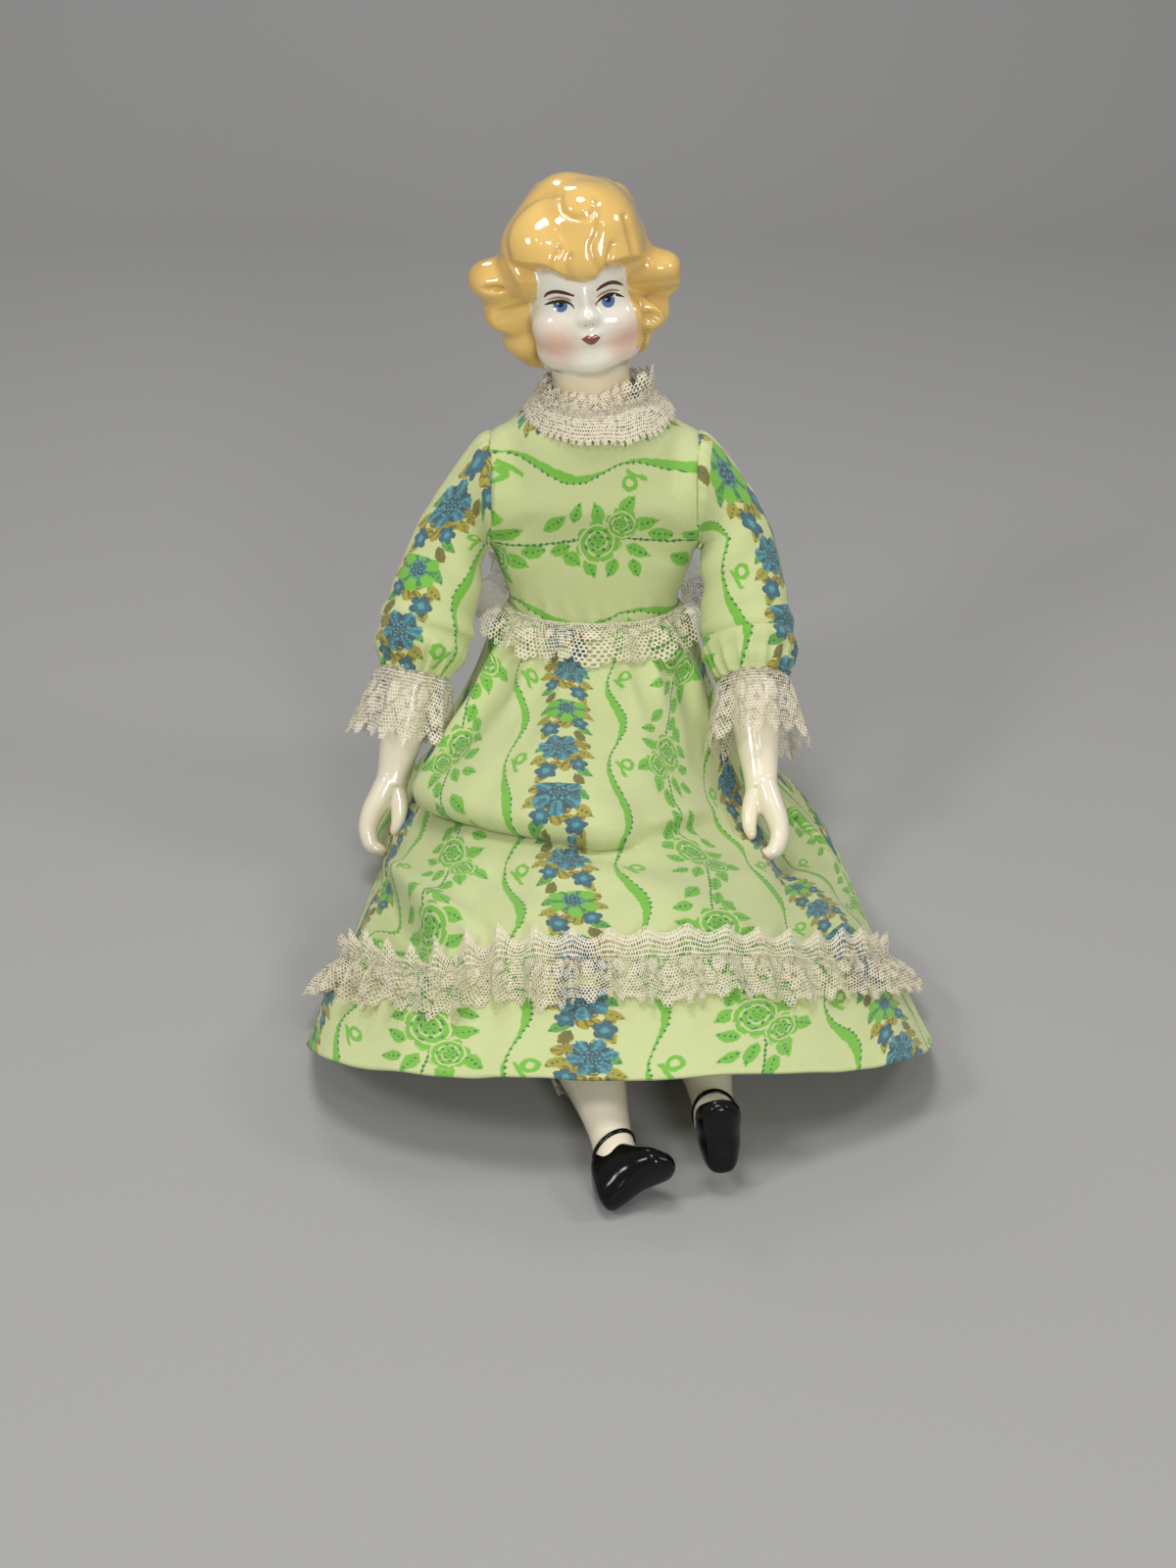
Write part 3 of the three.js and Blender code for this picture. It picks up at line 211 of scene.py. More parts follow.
# Skirt: top, side and bottom places, reach to the right and left, roundness right and left, folds
SKIRT = [
    [-22.3, 82, 0, 82, 22.3, 82, 30.3, 30.3, 0.87, 0.87, 0],
    [-35, 74, 0, 70, 33, 70, 37, 36, 1, 1, 0.7],
    [-57, 70, -4, 47, 45, 46, 46, 43, 1.05, 1.3, 1.4],
    [-84, 66, -12, 22, 53, 18, 60, 54, 1.1, 1.7, 1.4],
    [-104, 59, -22, 8, 53, 2, 69, 69, 1.1, 2.4, 1],
    [-117, 51, -40, 4.5, 38, -3, 72, 80, 1, 2.6, 0.8],
    [-136, 49, -66, 4, 0, -4, 75, 88, 0.9, 1.8, 1],
    [-161, 46, -98, 4, -60, -4, 81, 94, 0.8, 1.1, 1.2],
    [-190, 41, -128, 4, -110, -4, 86, 100, 0.7, 0.8, 1.2],
    [-217, 34.5, -152, 4, -150, -4, 90, 105, 0.6, 0.6, 1],
]
SKIRT_FOLDS = 11
SKIRT_CLOTH = 1.0
SKIRT_LENGTH = 245.0
SKIRT_GIRTH = 62.0
HEM_LACE_AT = 0.825

# Cloth: millimetres of print for each radian round a piece, the print's top and the pitch of its threads
BODICE_GIRTH = 26.0
SLEEVE_GIRTH = 14.6
PRINT_TOP_Z = 160.0
THREAD_PITCH = 0.42


# Small helpers for shapes


def spin(axis, degrees):
    """A turn about one axis as a matrix."""
    return np.array(Matrix.Rotation(math.radians(degrees), 3, axis))


def unit(vectors):
    """Vectors brought to length one."""
    return vectors / np.maximum(np.linalg.norm(vectors, axis=-1, keepdims=True), 1e-9)


def ramp(value, low, high):
    """0 before low, 1 after high and smooth between them."""
    share = np.clip((np.asarray(value, float) - low) / (high - low), 0, 1)
    return share * share * (3 - 2 * share)


def bell(value, centre, width):
    """A soft bump round a centre."""
    return np.exp(-(((value - centre) / width) ** 2))


def smooth_rows(table, at):
    """A table's rows at places between them, on a smooth curve through the rows."""
    table = np.asarray(table, float)
    last = len(table) - 1
    at = np.clip(np.asarray(at, float), 0, last)
    low = np.minimum(at.astype(int), last - 1)
    share = (at - low)[..., None]
    a, b, c, d = (table[np.clip(low + k, 0, last)] for k in (-1, 0, 1, 2))
    linear = (c - a) * share
    square = (2 * a - 5 * b + 4 * c - d) * share**2
    cube = (3 * b - a - 3 * c + d) * share**3
    return b + 0.5 * (linear + square + cube)


def keyed_rows(table, key):
    """The other columns of a table whose first column is a rising key."""
    table = np.asarray(table, float)
    at = np.interp(key, table[:, 0], np.arange(len(table)))
    return smooth_rows(table[:, 1:], at)


def squared(value, power):
    """A cosine or sine pushed out towards a square."""
    return np.sign(value) * np.abs(value) ** (2 / power)


def grid_faces(rows, cols, wrap):
    """Four corners for each face of a grid of points."""
    ids = np.arange(rows * cols).reshape(rows, cols)
    right = np.roll(ids, -1, 1) if wrap else ids[:, 1:]
    left = ids if wrap else ids[:, :-1]
    return np.stack([left[:-1], right[:-1], right[1:], left[1:]], -1).reshape(-1, 4)


def grid_print(across, along):
    """Cloth coordinates for each corner of a grid's faces. A closed grid has one column more."""
    flat = np.stack([across, along], -1)
    corners = [flat[:-1, :-1], flat[:-1, 1:], flat[1:, 1:], flat[1:, :-1]]
    return np.stack(corners, 2).reshape(-1, 2)


def make_piece(name, points, faces, material, cloth=None):
    """A piece from points in millimetres and lists of corners, with cloth coordinates if it has a print."""
    mesh = bpy.data.meshes.new(name)
    corners = [list(map(int, face)) for face in faces]
    mesh.from_pydata((np.reshape(points, (-1, 3)) * MM).tolist(), [], corners)
    mesh.shade_smooth()
    if cloth is not None:
        layer = mesh.uv_layers.new(name="print")
        layer.data.foreach_set("uv", np.asarray(cloth, np.float32).ravel())
    mesh.materials.append(material)
    piece = bpy.data.objects.new(name, mesh)
    bpy.context.scene.collection.objects.link(piece)
    return piece


def solid_piece(name, form, material):
    """A closed piece from points and faces, facing outwards."""
    piece = make_piece(name, *form, material)
    face_out(piece)
    return piece


def face_out(piece):
    """Turns the faces outwards."""
    work = bmesh.new()
    work.from_mesh(piece.data)
    bmesh.ops.recalc_face_normals(work, faces=work.faces)
    work.to_mesh(piece.data)
    work.free()


def settle(piece):
    """Puts the result of the piece's modifiers into its mesh."""
    graph = bpy.context.evaluated_depsgraph_get()
    made = bpy.data.meshes.new_from_object(piece.evaluated_get(graph))
    piece.modifiers.clear()
    old = piece.data
    piece.data = made
    bpy.data.meshes.remove(old)
    made.shade_smooth()


def thicken(piece, thickness):
    """Gives a sheet its thickness, inwards."""
    face_out(piece)
    cloth = piece.modifiers.new("Cloth thickness", "SOLIDIFY")
    cloth.thickness = thickness * MM
    cloth.offset = -1
    settle(piece)


def melt(piece, voxel, passes):
    """Joins crossing closed forms into one smooth skin."""
    skin = piece.modifiers.new("One skin", "REMESH")
    skin.mode = "VOXEL"
    skin.voxel_size = voxel * MM
    smooth = piece.modifiers.new("Smooth", "SMOOTH")
    smooth.factor = 0.5
    smooth.iterations = passes
    settle(piece)


def note(piece, name, values):
    """Keeps a number for each point of a mesh, for its material."""
    layer = piece.data.attributes.new(name, "FLOAT", "POINT")
    layer.data.foreach_set("value", np.asarray(values, np.float32).ravel())


def points_of(piece):
    """The piece's points in millimetres."""
    flat = np.empty(len(piece.data.vertices) * 3, np.float32)
    piece.data.vertices.foreach_get("co", flat)
    return flat.reshape(-1, 3) / MM


def place(piece, body, slot, *nodes):
    """Lets a piece ride on a body and stand for its nodes, which it hides; the slot is not used."""
    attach(piece, body)
    if nodes:
        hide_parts(*nodes)


def rings_on(centres, aims, wide, high, turns, hint):
    """Rings of points across a line, each from a hinted direction round to the side."""
    first = unit(hint - (aims @ hint)[:, None] * aims)
    side = np.cross(first, aims)
    cos, sin = np.cos(turns), np.sin(turns)
    out = first[:, None] * cos[None, :, None] * wide[:, None, None]
    return centres[:, None] + out + side[:, None] * sin[None, :, None] * high[:, None, None]


def closed_tube(rings):
    """Points and faces of a tube with flat ends."""
    rows, cols = rings.shape[:2]
    faces = [list(face) for face in grid_faces(rows, cols, True)]
    faces.append(list(range(cols))[::-1])
    faces.append(list(range((rows - 1) * cols, rows * cols)))
    return rings.reshape(-1, 3), faces


def joined(parts):
    """Several sets of points and faces as one."""
    points, faces, start = [], [], 0
    for some, corners in parts:
        points.append(some)
        faces += [[start + k for k in face] for face in corners]
        start += len(some)
    return np.concatenate(points), faces


def full_turn(count, start=0.0):
    """Even turns once round, in radians."""
    return start + np.arange(count) * 2 * math.pi / count


# Materials


def math_node(operation, swapped=False):
    """An operator or method of Wire that adds a Math node."""
    def add_node(wire, *others):
        return wire.maths(operation, *((*others, wire) if swapped else (wire, *others)))

    return add_node


class Wire:
    """A socket on which Python's operators add Math nodes."""

    def __init__(self, paint, socket):
        self.paint = paint
        self.socket = socket

    def maths(self, operation, *values, clamp=False):
        """A Math node on numbers and sockets."""
        settings = {"operation": operation, "use_clamp": clamp}
        return self.paint.node("ShaderNodeMath", settings, dict(enumerate(values)))

    def soft(self, width):
        """A mask that is 1 where the value is above zero, with an edge of that width."""
        return self.maths("MULTIPLY_ADD", self, 1.0 / width, 0.5, clamp=True)

    __add__, __radd__ = math_node("ADD"), math_node("ADD", True)
    __sub__, __rsub__ = math_node("SUBTRACT"), math_node("SUBTRACT", True)
    __mul__, __rmul__ = math_node("MULTIPLY"), math_node("MULTIPLY", True)
    __truediv__, __rtruediv__ = math_node("DIVIDE"), math_node("DIVIDE", True)
    __mod__, __rmod__ = math_node("FLOORED_MODULO"), math_node("FLOORED_MODULO", True)
    __abs__, sign, floor = math_node("ABSOLUTE"), math_node("SIGN"), math_node("FLOOR")
    sin, cos, angle, root = math_node("SINE"), math_node("COSINE"), math_node("ARCTAN2"), math_node("SQRT")


class Paint:
    """A material whose nodes are added by name."""

    def __init__(self, name):
        self.material = bpy.data.materials.new(name)
        self.material.use_nodes = True
        self.tree = self.material.node_tree
        self.tree.nodes.clear()

    def node(self, kind, settings=None, sockets=None, out=0):
        """Adds a node, sets what it is and then the values or links of its sockets."""
        node = self.tree.nodes.new(kind)
        for key, value in (settings or {}).items():
            setattr(node, key, value)
        for key, value in (sockets or {}).items():
            if isinstance(value, Wire):
                self.tree.links.new(value.socket, node.inputs[key])
            else:
                node.inputs[key].default_value = value
        return Wire(self, node.outputs[out]) if node.outputs else None

    def blend(self, mask, under, over):
        """One colour painted over another by a mask."""
        return self.node("ShaderNodeMix", {"data_type": "RGBA"}, {0: mask, 6: under, 7: over}, out=2)

    def vector(self, operation, *values):
        """A Vector Math node."""
        return self.node("ShaderNodeVectorMath", {"operation": operation}, dict(enumerate(values)))

    def split(self, vector):
        parts = self.node("ShaderNodeSeparateXYZ", sockets={0: vector}).socket.node
        return [Wire(self, socket) for socket in parts.outputs]

    def noise(self, vector, scale, detail, out=0):
        settings = {"noise_dimensions": "3D"}
        sockets = {"Vector": vector, "Scale": scale, "Detail": detail}
        return self.node("ShaderNodeTexNoise", settings, sockets, out=out)

    def kept(self, name):
        """A number kept on the mesh's points."""
        return self.node("ShaderNodeAttribute", {"attribute_name": name}, out=2)

    def where(self):
        """The point's place in the piece, in metres."""
        return self.node("ShaderNodeTexCoord", out=3)

    def bump(self, height, distance, strength=1.0):
        sockets = {"Height": height, "Distance": distance, "Strength": strength}
        return self.node("ShaderNodeBump", sockets=sockets)

    def close(self, **sockets):
        """The finished surface."""
        named = {key.replace("_", " "): value for key, value in sockets.items()}
        shader = self.node("ShaderNodeBsdfPrincipled", sockets=named)
        self.node("ShaderNodeOutputMaterial", sockets={"Surface": shader})
        return self.material


def opaque(colour):
    """A colour as a socket takes it."""
    return (*colour, 1.0)


def near(paint, spot, centre, size):
    """How near a place is to a spot: 1 at its centre and 0 from its edge on."""
    even = paint.vector("DIVIDE", paint.vector("SUBTRACT", spot, centre), size)
    length = paint.node("ShaderNodeVectorMath", {"operation": "LENGTH"}, {0: even}, out=1)
    settings = {"interpolation_type": "SMOOTHSTEP"}
    return paint.node("ShaderNodeMapRange", settings, {0: length, 1: 1.0, 2: 0.0})


def petals(across, along, centre, radius, count, depth, phase=0.0):
    """A flower's mask, its distance from the centre as a share, and the angle round it."""
    dx = across - centre[0]
    dy = along - centre[1]
    far = (dx * dx + dy * dy).root()
    angle = dy.angle(dx)
    lobe = abs((angle * (count / 2) + phase).cos())
    edge = radius * (1 - depth) + lobe * (radius * depth)
    return (edge - far).soft(0.35), far / radius, angle


def dotted(across, along, pitch, radius):
    """The mask of a row of dots along a line."""
    dot = abs(along % pitch - pitch / 2)
    return (radius - (dot * dot + across * across).root()).soft(0.25)


def leaf(across, along, centre, degrees, length, width):
    """A toothed leaf's mask and its dotted middle vein."""
    turn = math.radians(degrees)
    dx = across - centre[0]
    dy = along - centre[1]
    run = dx * math.cos(turn) + dy * math.sin(turn)
    off = abs(dy * math.cos(turn) - dx * math.sin(turn))
    share = run / (length / 2)
    teeth = ((run * 3.0 - off * 1.2) % 2.0) * 0.18
    edge = (1 - share * share) * (1 - share * 0.35) * width / 2 - teeth
    body = (edge - off).soft(0.3) * (0.98 - abs(share)).soft(0.04)
    vein = dotted(off, run, 1.7, 0.42) * (0.8 - abs(share)).soft(0.2)
    return body, vein


# The print's shapes, in millimetres of cloth. Leaves of the spray: centre, degrees, length and width
SPRAY_LEAVES = [
    ((7.6, 4.0), 58, 9.5, 5.6), ((-7.0, 9.5), 130, 9.0, 5.4), ((10.6, 11.5), 20, 8.0, 4.8),
    ((-4.4, 34.0), 112, 9.0, 5.2), ((6.4, 35.5), 70, 9.6, 5.6), ((-11.0, 33.0), 165, 7.6, 4.6),
    ((-11.0, 16.5), 155, 9.0, 5.4), ((-11.4, 24.5), 205, 8.4, 5.0), ((9.6, 19.0), -15, 9.0, 5.4),
    ((13.0, 30.0), 38, 8.6, 5.0), ((2.4, 41.0), 98, 9.0, 5.4), ((-2.6, 5.4), 80, 8.4, 5.0),
]
# Roses and buds: centre, radius and phase
SPRAY_ROSES = [((-1.6, 19.5), 9.0, 0.4), ((5.6, 28.0), 6.2, 1.1)]
STRIPE_BUDS = [((5.2, 16.4), 3.9, 0.2), ((-5.6, 12.6), 3.4, 0.9)]
# Sprigs of the stripe: centre, radius, lobes and phase
STRIPE_SPRIGS = [((-2.6, 10.5), 6.4, 5, 0.3), ((4.6, 14.6), 4.4, 3, 1.0), ((-5.4, 2.0), 4.6, 3, 2.0)]
# Leaves of the stripe: centre, degrees and tone
STRIPE_LEAVES = [
    ((7.0, 5.0), 40, "green"), ((-7.6, 16.0), 150, "green"), ((8.0, 11.0), 30, "ochre"),
    ((-8.4, 7.4), 150, "ochre"), ((6.6, 19.4), 62, "ochre"), ((-6.0, 20.4), 118, "dark ochre"),
]
# Blooms of the stripe: centre, radius, and 1 where every other one is green
STRIPE_BLOOMS = [((-0.6, 4.6), 8.2, 1.0), ((1.6, 26.6), 7.2, 0.0)]


def rose_spray(paint, looks, ground, spray, beat, along):
    """Two roses and their leaves on a dotted vine, printed on the ground."""
    green, dark = opaque(looks.leaf_green), opaque(looks.dot_green)
    colour = ground
    for centre, degrees, length, wide in SPRAY_LEAVES:
        body, vein = leaf(spray, beat, centre, degrees, length, wide)
        colour = paint.blend(body, colour, green)
        colour = paint.blend(vein, colour, dark)
    colour = paint.blend((0.4 - abs(spray)).soft(0.3), colour, green)
    colour = paint.blend(dotted(spray, along, 1.9, 0.55), colour, dark)
    for centre, radius, phase in SPRAY_ROSES:
        body, share, angle = petals(spray, beat, centre, radius, 7, 0.24, phase)
        colour = paint.blend(body, colour, green)
        curl = (share * 3.4 + angle * (1 / (2 * math.pi))) % 1.0
        gap = (0.16 - abs(curl - 0.5)).soft(0.08) * (share - 0.3).soft(0.1) * (0.93 - share).soft(0.1)
        colour = paint.blend(gap, colour, ground)
        seed = ((angle * 5.0).cos() * (share * 19.0).sin() - 0.55).soft(0.25) * (0.62 - share).soft(0.1)
        colour = paint.blend(seed, colour, dark)
    return colour


def curling_ribbon(paint, looks, colour, ribbon, beat, along, turn):
    """A ribbon that swings and curls, with dots along one edge, printed over a colour."""
    green = opaque(looks.leaf_green)
    wave = ribbon - turn.sin() * 3.0
    thick = 1.1 + (turn + 0.9).sin() * 0.75
    colour = paint.blend((thick - abs(wave)).soft(0.3), colour, green)
    hoop = ((ribbon - 4.4) * (ribbon - 4.4) + (beat - 31.0) * (beat - 31.0)).root()
    colour = paint.blend((0.75 - abs(hoop - 2.1)).soft(0.3), colour, green)
    tail = (0.8 - abs(ribbon - 1.6 - (beat - 33.0) * 0.5)).soft(0.3) * (3.4 - abs(beat - 33.6)).soft(0.4)
    colour = paint.blend(tail, colour, green)
    return paint.blend(dotted(wave - thick + 0.1, along, 2.3, 0.48), colour, opaque(looks.dot_green))


def flower_stripe(paint, looks, colour, bough, beat, step, alternate, mottle):
    """Blooms with buds, leaves and ochre sprigs, printed over a colour."""
    green, green_deep, dark = opaque(looks.leaf_green), opaque(looks.leaf_deep), opaque(looks.dot_green)
    ochre, ochre_dark = opaque(looks.ochre), opaque(looks.ochre_dark)
    blue, deep, pale = opaque(looks.flower_blue), opaque(looks.flower_deep), opaque(looks.flower_pale)
    tones = {"green": paint.blend(mottle, green, green_deep), "ochre": ochre, "dark ochre": ochre_dark}
    for centre, radius, count, phase in STRIPE_SPRIGS:
        body, _, angle = petals(bough, step, centre, radius, count, 0.6, phase)
        lines = ((angle * 9.0).sin() + mottle * 3.0 - 1.7).soft(0.4)
        colour = paint.blend(body, colour, paint.blend(lines, ochre, ochre_dark))
    for centre, degrees, tone in STRIPE_LEAVES:
        body, vein = leaf(bough, step, centre, degrees, 8.0, 4.2)
        colour = paint.blend(body, colour, tones[tone])
        colour = paint.blend(vein, colour, dark)
    for centre, radius, phase in STRIPE_BUDS:
        body, share, _ = petals(bough, step, centre, radius, 5, 0.3, phase)
        bud = paint.blend((mottle * 2.4 - share * 0.6 - 0.7).soft(0.4), deep, blue)
        colour = paint.blend(body, colour, paint.blend((0.3 - share).soft(0.15), bud, pale))
    for centre, radius, swap in STRIPE_BLOOMS:
        ragged = radius + (mottle - 0.5) * 3.0
        body, share, angle = petals(bough, beat, centre, ragged, 6, 0.26, 0.5 + swap)
        petal = abs((angle * 3.0 + 0.5 + swap).cos())
        shade = (mottle * 2.6 + share * 0.5 - 1.7 + (angle * 14.0).sin() * 0.3).soft(0.4)
        bluish = paint.blend(shade, blue, pale)
        bluish = paint.blend((0.45 - petal + (mottle - 0.5) * 1.5).soft(0.25), bluish, deep)
        greenish = paint.blend((0.4 - petal + (mottle - 0.5)).soft(0.3), green, green_deep)
        bloom = paint.blend(alternate * swap, bluish, greenish)
        bloom = paint.blend((0.36 - share).soft(0.14), bloom, deep)
        seed = ((angle * 6.0).cos() * (share * 26.0).sin() - 0.3).soft(0.3) * (0.5 - share).soft(0.1)
        bloom = paint.blend(seed, bloom, pale)
        colour = paint.blend(body, colour, bloom)
    return colour


def printed_cotton(looks):
    """Cotton with a flower stripe, a curling ribbon and a rose spray, printed in cloth coordinates."""
    paint = Paint("printed_cotton")
    cloth = paint.node("ShaderNodeUVMap", {"uv_map": "print"})
    drift = paint.vector("SUBTRACT", paint.noise(cloth, 0.45, 3.0, out=1), (0.5, 0.5, 0.5))
    x, y, _ = paint.split(paint.vector("MULTIPLY_ADD", drift, (1.6, 1.6, 0.0), cloth))
    stripe, run = looks.stripe_width / MM, looks.print_run / MM
    half_run = run / 2
    beat = y % half_run
    alternate = (y / half_run).floor() % 2.0
    flip = 1 - alternate * 2
    mottle = paint.noise(cloth, 1.1, 4.0)
    ground = paint.blend(paint.noise(cloth, 0.05, 3.0), opaque(looks.ground), opaque(looks.ground_faded))

    sway = (y * (2 * math.pi / run)).sin() * 3.5
    spray = (x % stripe - stripe / 2 - sway) * flip
    colour = rose_spray(paint, looks, ground, spray, beat, y)
    across = (x + stripe / 2) % stripe - stripe / 2
    ribbon = across - across.sign() * looks.ribbon_at / MM
    colour = curling_ribbon(paint, looks, colour, ribbon, beat, y, y * (2 * math.pi / half_run))
    step = beat % (half_run / 2)
    colour = flower_stripe(paint, looks, colour, across * flip, beat, step, alternate, mottle)

    u, v, _ = paint.split(cloth)
    threads = (u * (2 * math.pi / THREAD_PITCH)).sin() * 0.5 + (v * (2 * math.pi / THREAD_PITCH)).sin() * 0.5
    slub = paint.noise(cloth, 2.6, 3.0)
    streak = paint.noise(paint.vector("MULTIPLY", cloth, (0.22, 3.4, 1.0)), 1.0, 2.0)
    colour = paint.blend(slub * 0.12 + streak * 0.2, colour, opaque(looks.thread_shade))
    relief = paint.bump(threads * 0.3 + slub + streak, 0.00018, 0.6)
    return paint.close(Base_Color=colour, Roughness=0.82 + slub * 0.1, Normal=relief, Sheen_Weight=0.18,
                       Sheen_Roughness=0.5, Specular_IOR_Level=0.25)


def lace_thread(looks):
    """Twisted cotton thread, creamier in places."""
    paint = Paint("lace_thread")
    spot = paint.where()
    age = paint.noise(spot, 60.0, 3.0)
    twist = paint.noise(spot, 2600.0, 2.0)
    colour = paint.blend(age, opaque(looks.lace), opaque(looks.lace_aged))
    colour = paint.blend(twist * 0.35, colour, opaque(looks.lace_shade))
    return paint.close(Base_Color=colour, Roughness=0.8 + twist * 0.15, Normal=paint.bump(twist, 0.0002),
                       Sheen_Weight=0.15, Specular_IOR_Level=0.2)


def plain_cloth(name, colour, shade, pitch):
    """A plain weave, with threads at a pitch in metres."""
    paint = Paint(name)
    x, y, z = paint.split(paint.where())
    full = 2 * math.pi / pitch
    weave = (x * full).sin() * (z * full).sin() + (y * full).sin() * 0.6
    soil = paint.noise(paint.where(), 45.0, 4.0)
    colour = paint.blend(soil, opaque(colour), opaque(shade))
    relief = paint.bump(weave + soil, 0.00025, 0.5)
    return paint.close(Base_Color=colour, Roughness=0.86 + soil * 0.08, Normal=relief, Sheen_Weight=0.1,
                       Specular_IOR_Level=0.2)


def glaze(looks):
    """White glaze with painted hair, blush and a creamier neck, and painted shade in the hair's creases."""
    paint = Paint("china_glaze")
    turn = (0.0, math.radians(HEAD_ROLL), math.radians(HEAD_TURN))
    spot = paint.node("ShaderNodeMapping", {"vector_type": "TEXTURE"},
                      {"Vector": paint.where(), "Location": tuple(HEAD_CENTRE * MM), "Rotation": turn})
    cloud = paint.noise(spot, 70.0, 3.0)
    colour = paint.blend(cloud * 0.5, opaque(looks.glaze), opaque(looks.glaze_shade))
    _, _, height = paint.split(spot)
    colour = paint.blend((-0.0285 - height).soft(0.007) * 0.85, colour, opaque(looks.neck))
    speck = paint.noise(spot, 900.0, 2.0)
    for centre in CHEEKS:
        flush = near(paint, spot, centre, CHEEK_SIZE)
        colour = paint.blend(flush * (0.46 + speck * 0.36), colour, opaque(looks.blush))
    hair = paint.kept("hair")
    # Painted shade: where the crease value is low the hair takes its shade colour, in creases, grooves and
    # whorls.
    crease = paint.kept("crease")
    strand = paint.noise(spot, 140.0, 3.0)
    locks = paint.blend(crease * 0.45 + 0.55, opaque(looks.hair_shade), opaque(looks.hair))
    locks = paint.blend(strand * 0.4, locks, opaque(looks.hair_light))
    cover = (hair - 0.12).soft(0.3)
    colour = paint.blend(cover, colour, locks)
    ripple = paint.bump(paint.noise(spot, 220.0, 2.0), 0.00006)
    return paint.close(Base_Color=colour, Roughness=0.07 + cloud * 0.04, Normal=ripple, Coat_Weight=0.6,
                       Coat_Roughness=0.03, Specular_IOR_Level=0.55)


def limb_glaze(looks):
    """White glaze over a creamy body, with tinted finger ends."""
    paint = Paint("limb_glaze")
    spot = paint.where()
    cloud = paint.noise(spot, 60.0, 3.0)
    colour = paint.blend(cloud * 0.6, opaque(looks.limb), opaque(looks.neck))
    colour = paint.blend(paint.kept("tip") * 0.45, colour, opaque(looks.fingertip))
    ripple = paint.bump(paint.noise(spot, 240.0, 2.0), 0.00006)
    return paint.close(Base_Color=colour, Roughness=0.12 + cloud * 0.06, Normal=ripple, Coat_Weight=0.5,
                       Coat_Roughness=0.04, Specular_IOR_Level=0.5)


def face_colours():
    """Brush colours over the glaze, kept on the mesh."""
    paint = Paint("face_colours")
    colour = paint.node("ShaderNodeAttribute", {"attribute_name": "brush"}, out=0)
    streak = paint.noise(paint.where(), 1500.0, 2.0)
    cover = paint.kept("cover") * (0.8 + streak * 0.3)
    return paint.close(Base_Color=colour, Roughness=0.12 + streak * 0.05, Alpha=cover, Coat_Weight=0.5,
                       Coat_Roughness=0.03)


def shoe_black(looks):
    """Black over-glaze, thinner in places."""
    paint = Paint("shoe_black")
    spot = paint.where()
    cloud = paint.noise(spot, 120.0, 4.0)
    colour = paint.blend(cloud, opaque(looks.shoe), opaque(looks.shoe_worn))
    ripple = paint.bump(paint.noise(spot, 300.0, 2.0), 0.00008)
    return paint.close(Base_Color=colour, Roughness=0.1 + cloud * 0.1, Normal=ripple, Coat_Weight=0.15,
                       Coat_Roughness=0.04, Specular_IOR_Level=0.2)


def snap_metal(looks):
    """Nickel that has dulled in places."""
    paint = Paint("snap_nickel")
    dull = paint.noise(paint.where(), 700.0, 4.0)
    colour = paint.blend(dull, opaque(looks.snap), opaque(looks.snap_dull))
    return paint.close(Base_Color=colour, Metallic=1.0, Roughness=0.28 + dull * 0.3)


# Head


def lump_reach(points, lump):
    """Distance of points from a rounded lump, below zero inside it."""
    radii = np.asarray(lump[3:], float)
    scaled = (points - np.asarray(lump[:3], float)) / radii
    size = np.linalg.norm(scaled, axis=-1)
    slope = np.linalg.norm(scaled / radii, axis=-1)
    return size * (size - 1) / np.maximum(slope, 1e-6)


def soft_least(a, b, width):
    """The lesser of two distances, rounded where they meet."""
    meet = np.maximum(width - np.abs(a - b), 0) / width
    return np.minimum(a, b) - meet * meet * width / 4


def lumps_distance(points, lumps, width, start=1e3):
    """Distance from lumps added to a first form, and how far the next lump is behind the nearest."""
    first = np.full(points.shape[:-1], start)
    second = np.full(points.shape[:-1], 1e3)
    soft = first.copy()
    for lump in lumps:
        away = lump_reach(points, lump)
        second = np.minimum(second, np.maximum(first, away))
        first = np.minimum(first, away)
        soft = soft_least(soft, away, width)
    return soft, second - first


def to_world(points):
    """From the head's own frame to the model's."""
    return points @ (spin("Z", HEAD_TURN) @ spin("Y", HEAD_ROLL)).T + HEAD_CENTRE


def to_head(points):
    """From the model's frame to the head's own."""
    return (points - HEAD_CENTRE) @ (spin("Z", HEAD_TURN) @ spin("Y", HEAD_ROLL))


def neck_distance(points):
    """Distance from the neck, for points in the head's frame."""
    world = to_world(points)
    rows = np.asarray(NECK)[::-1]
    at = np.interp(world[..., 2], rows[:, 0], np.arange(len(rows)))
    wide, deep, x, y = np.moveaxis(smooth_rows(rows[:, 1:], at), -1, 0)
    far = np.hypot((world[..., 0] - x), (world[..., 1] - y) * wide / deep) - wide
    return np.maximum(far, world[..., 2] - 186)


def segment_distance(x, y, start, end):
    """Distance in a plane from a straight stretch, and the share of the way along it."""
    (ax, ay), (bx, by) = start, end
    dx, dy = bx - ax, by - ay
    share = np.clip(((x - ax) * dx + (y - ay) * dy) / (dx**2 + dy**2), 0, 1)
    return np.hypot(x - ax - share * dx, y - ay - share * dy), share


def line_distance(x, y, line):
    """Distance in a plane from a line of points."""
    best = np.full(x.shape, 1e3)
    for start, end in zip(line[:-1], line[1:]):
        best = np.minimum(best, segment_distance(x, y, start, end)[0])
    return best


def outline_distance(x, z):
    """Distance in the face's plane from the edge of the hair, below zero on the skin."""
    corners = FACE_OUTLINE + FACE_OUTLINE[:1]
    best = line_distance(x, z, corners)
    inside = np.zeros(x.shape, bool)
    for (ax, az), (bx, bz) in zip(corners[:-1], corners[1:]):
        crosses = (az > z) != (bz > z)
        with np.errstate(divide="ignore", invalid="ignore"):
            inside ^= crosses & (x < (bx - ax) * (z - az) / (bz - az) + ax)
    return np.where(inside, -best, best)


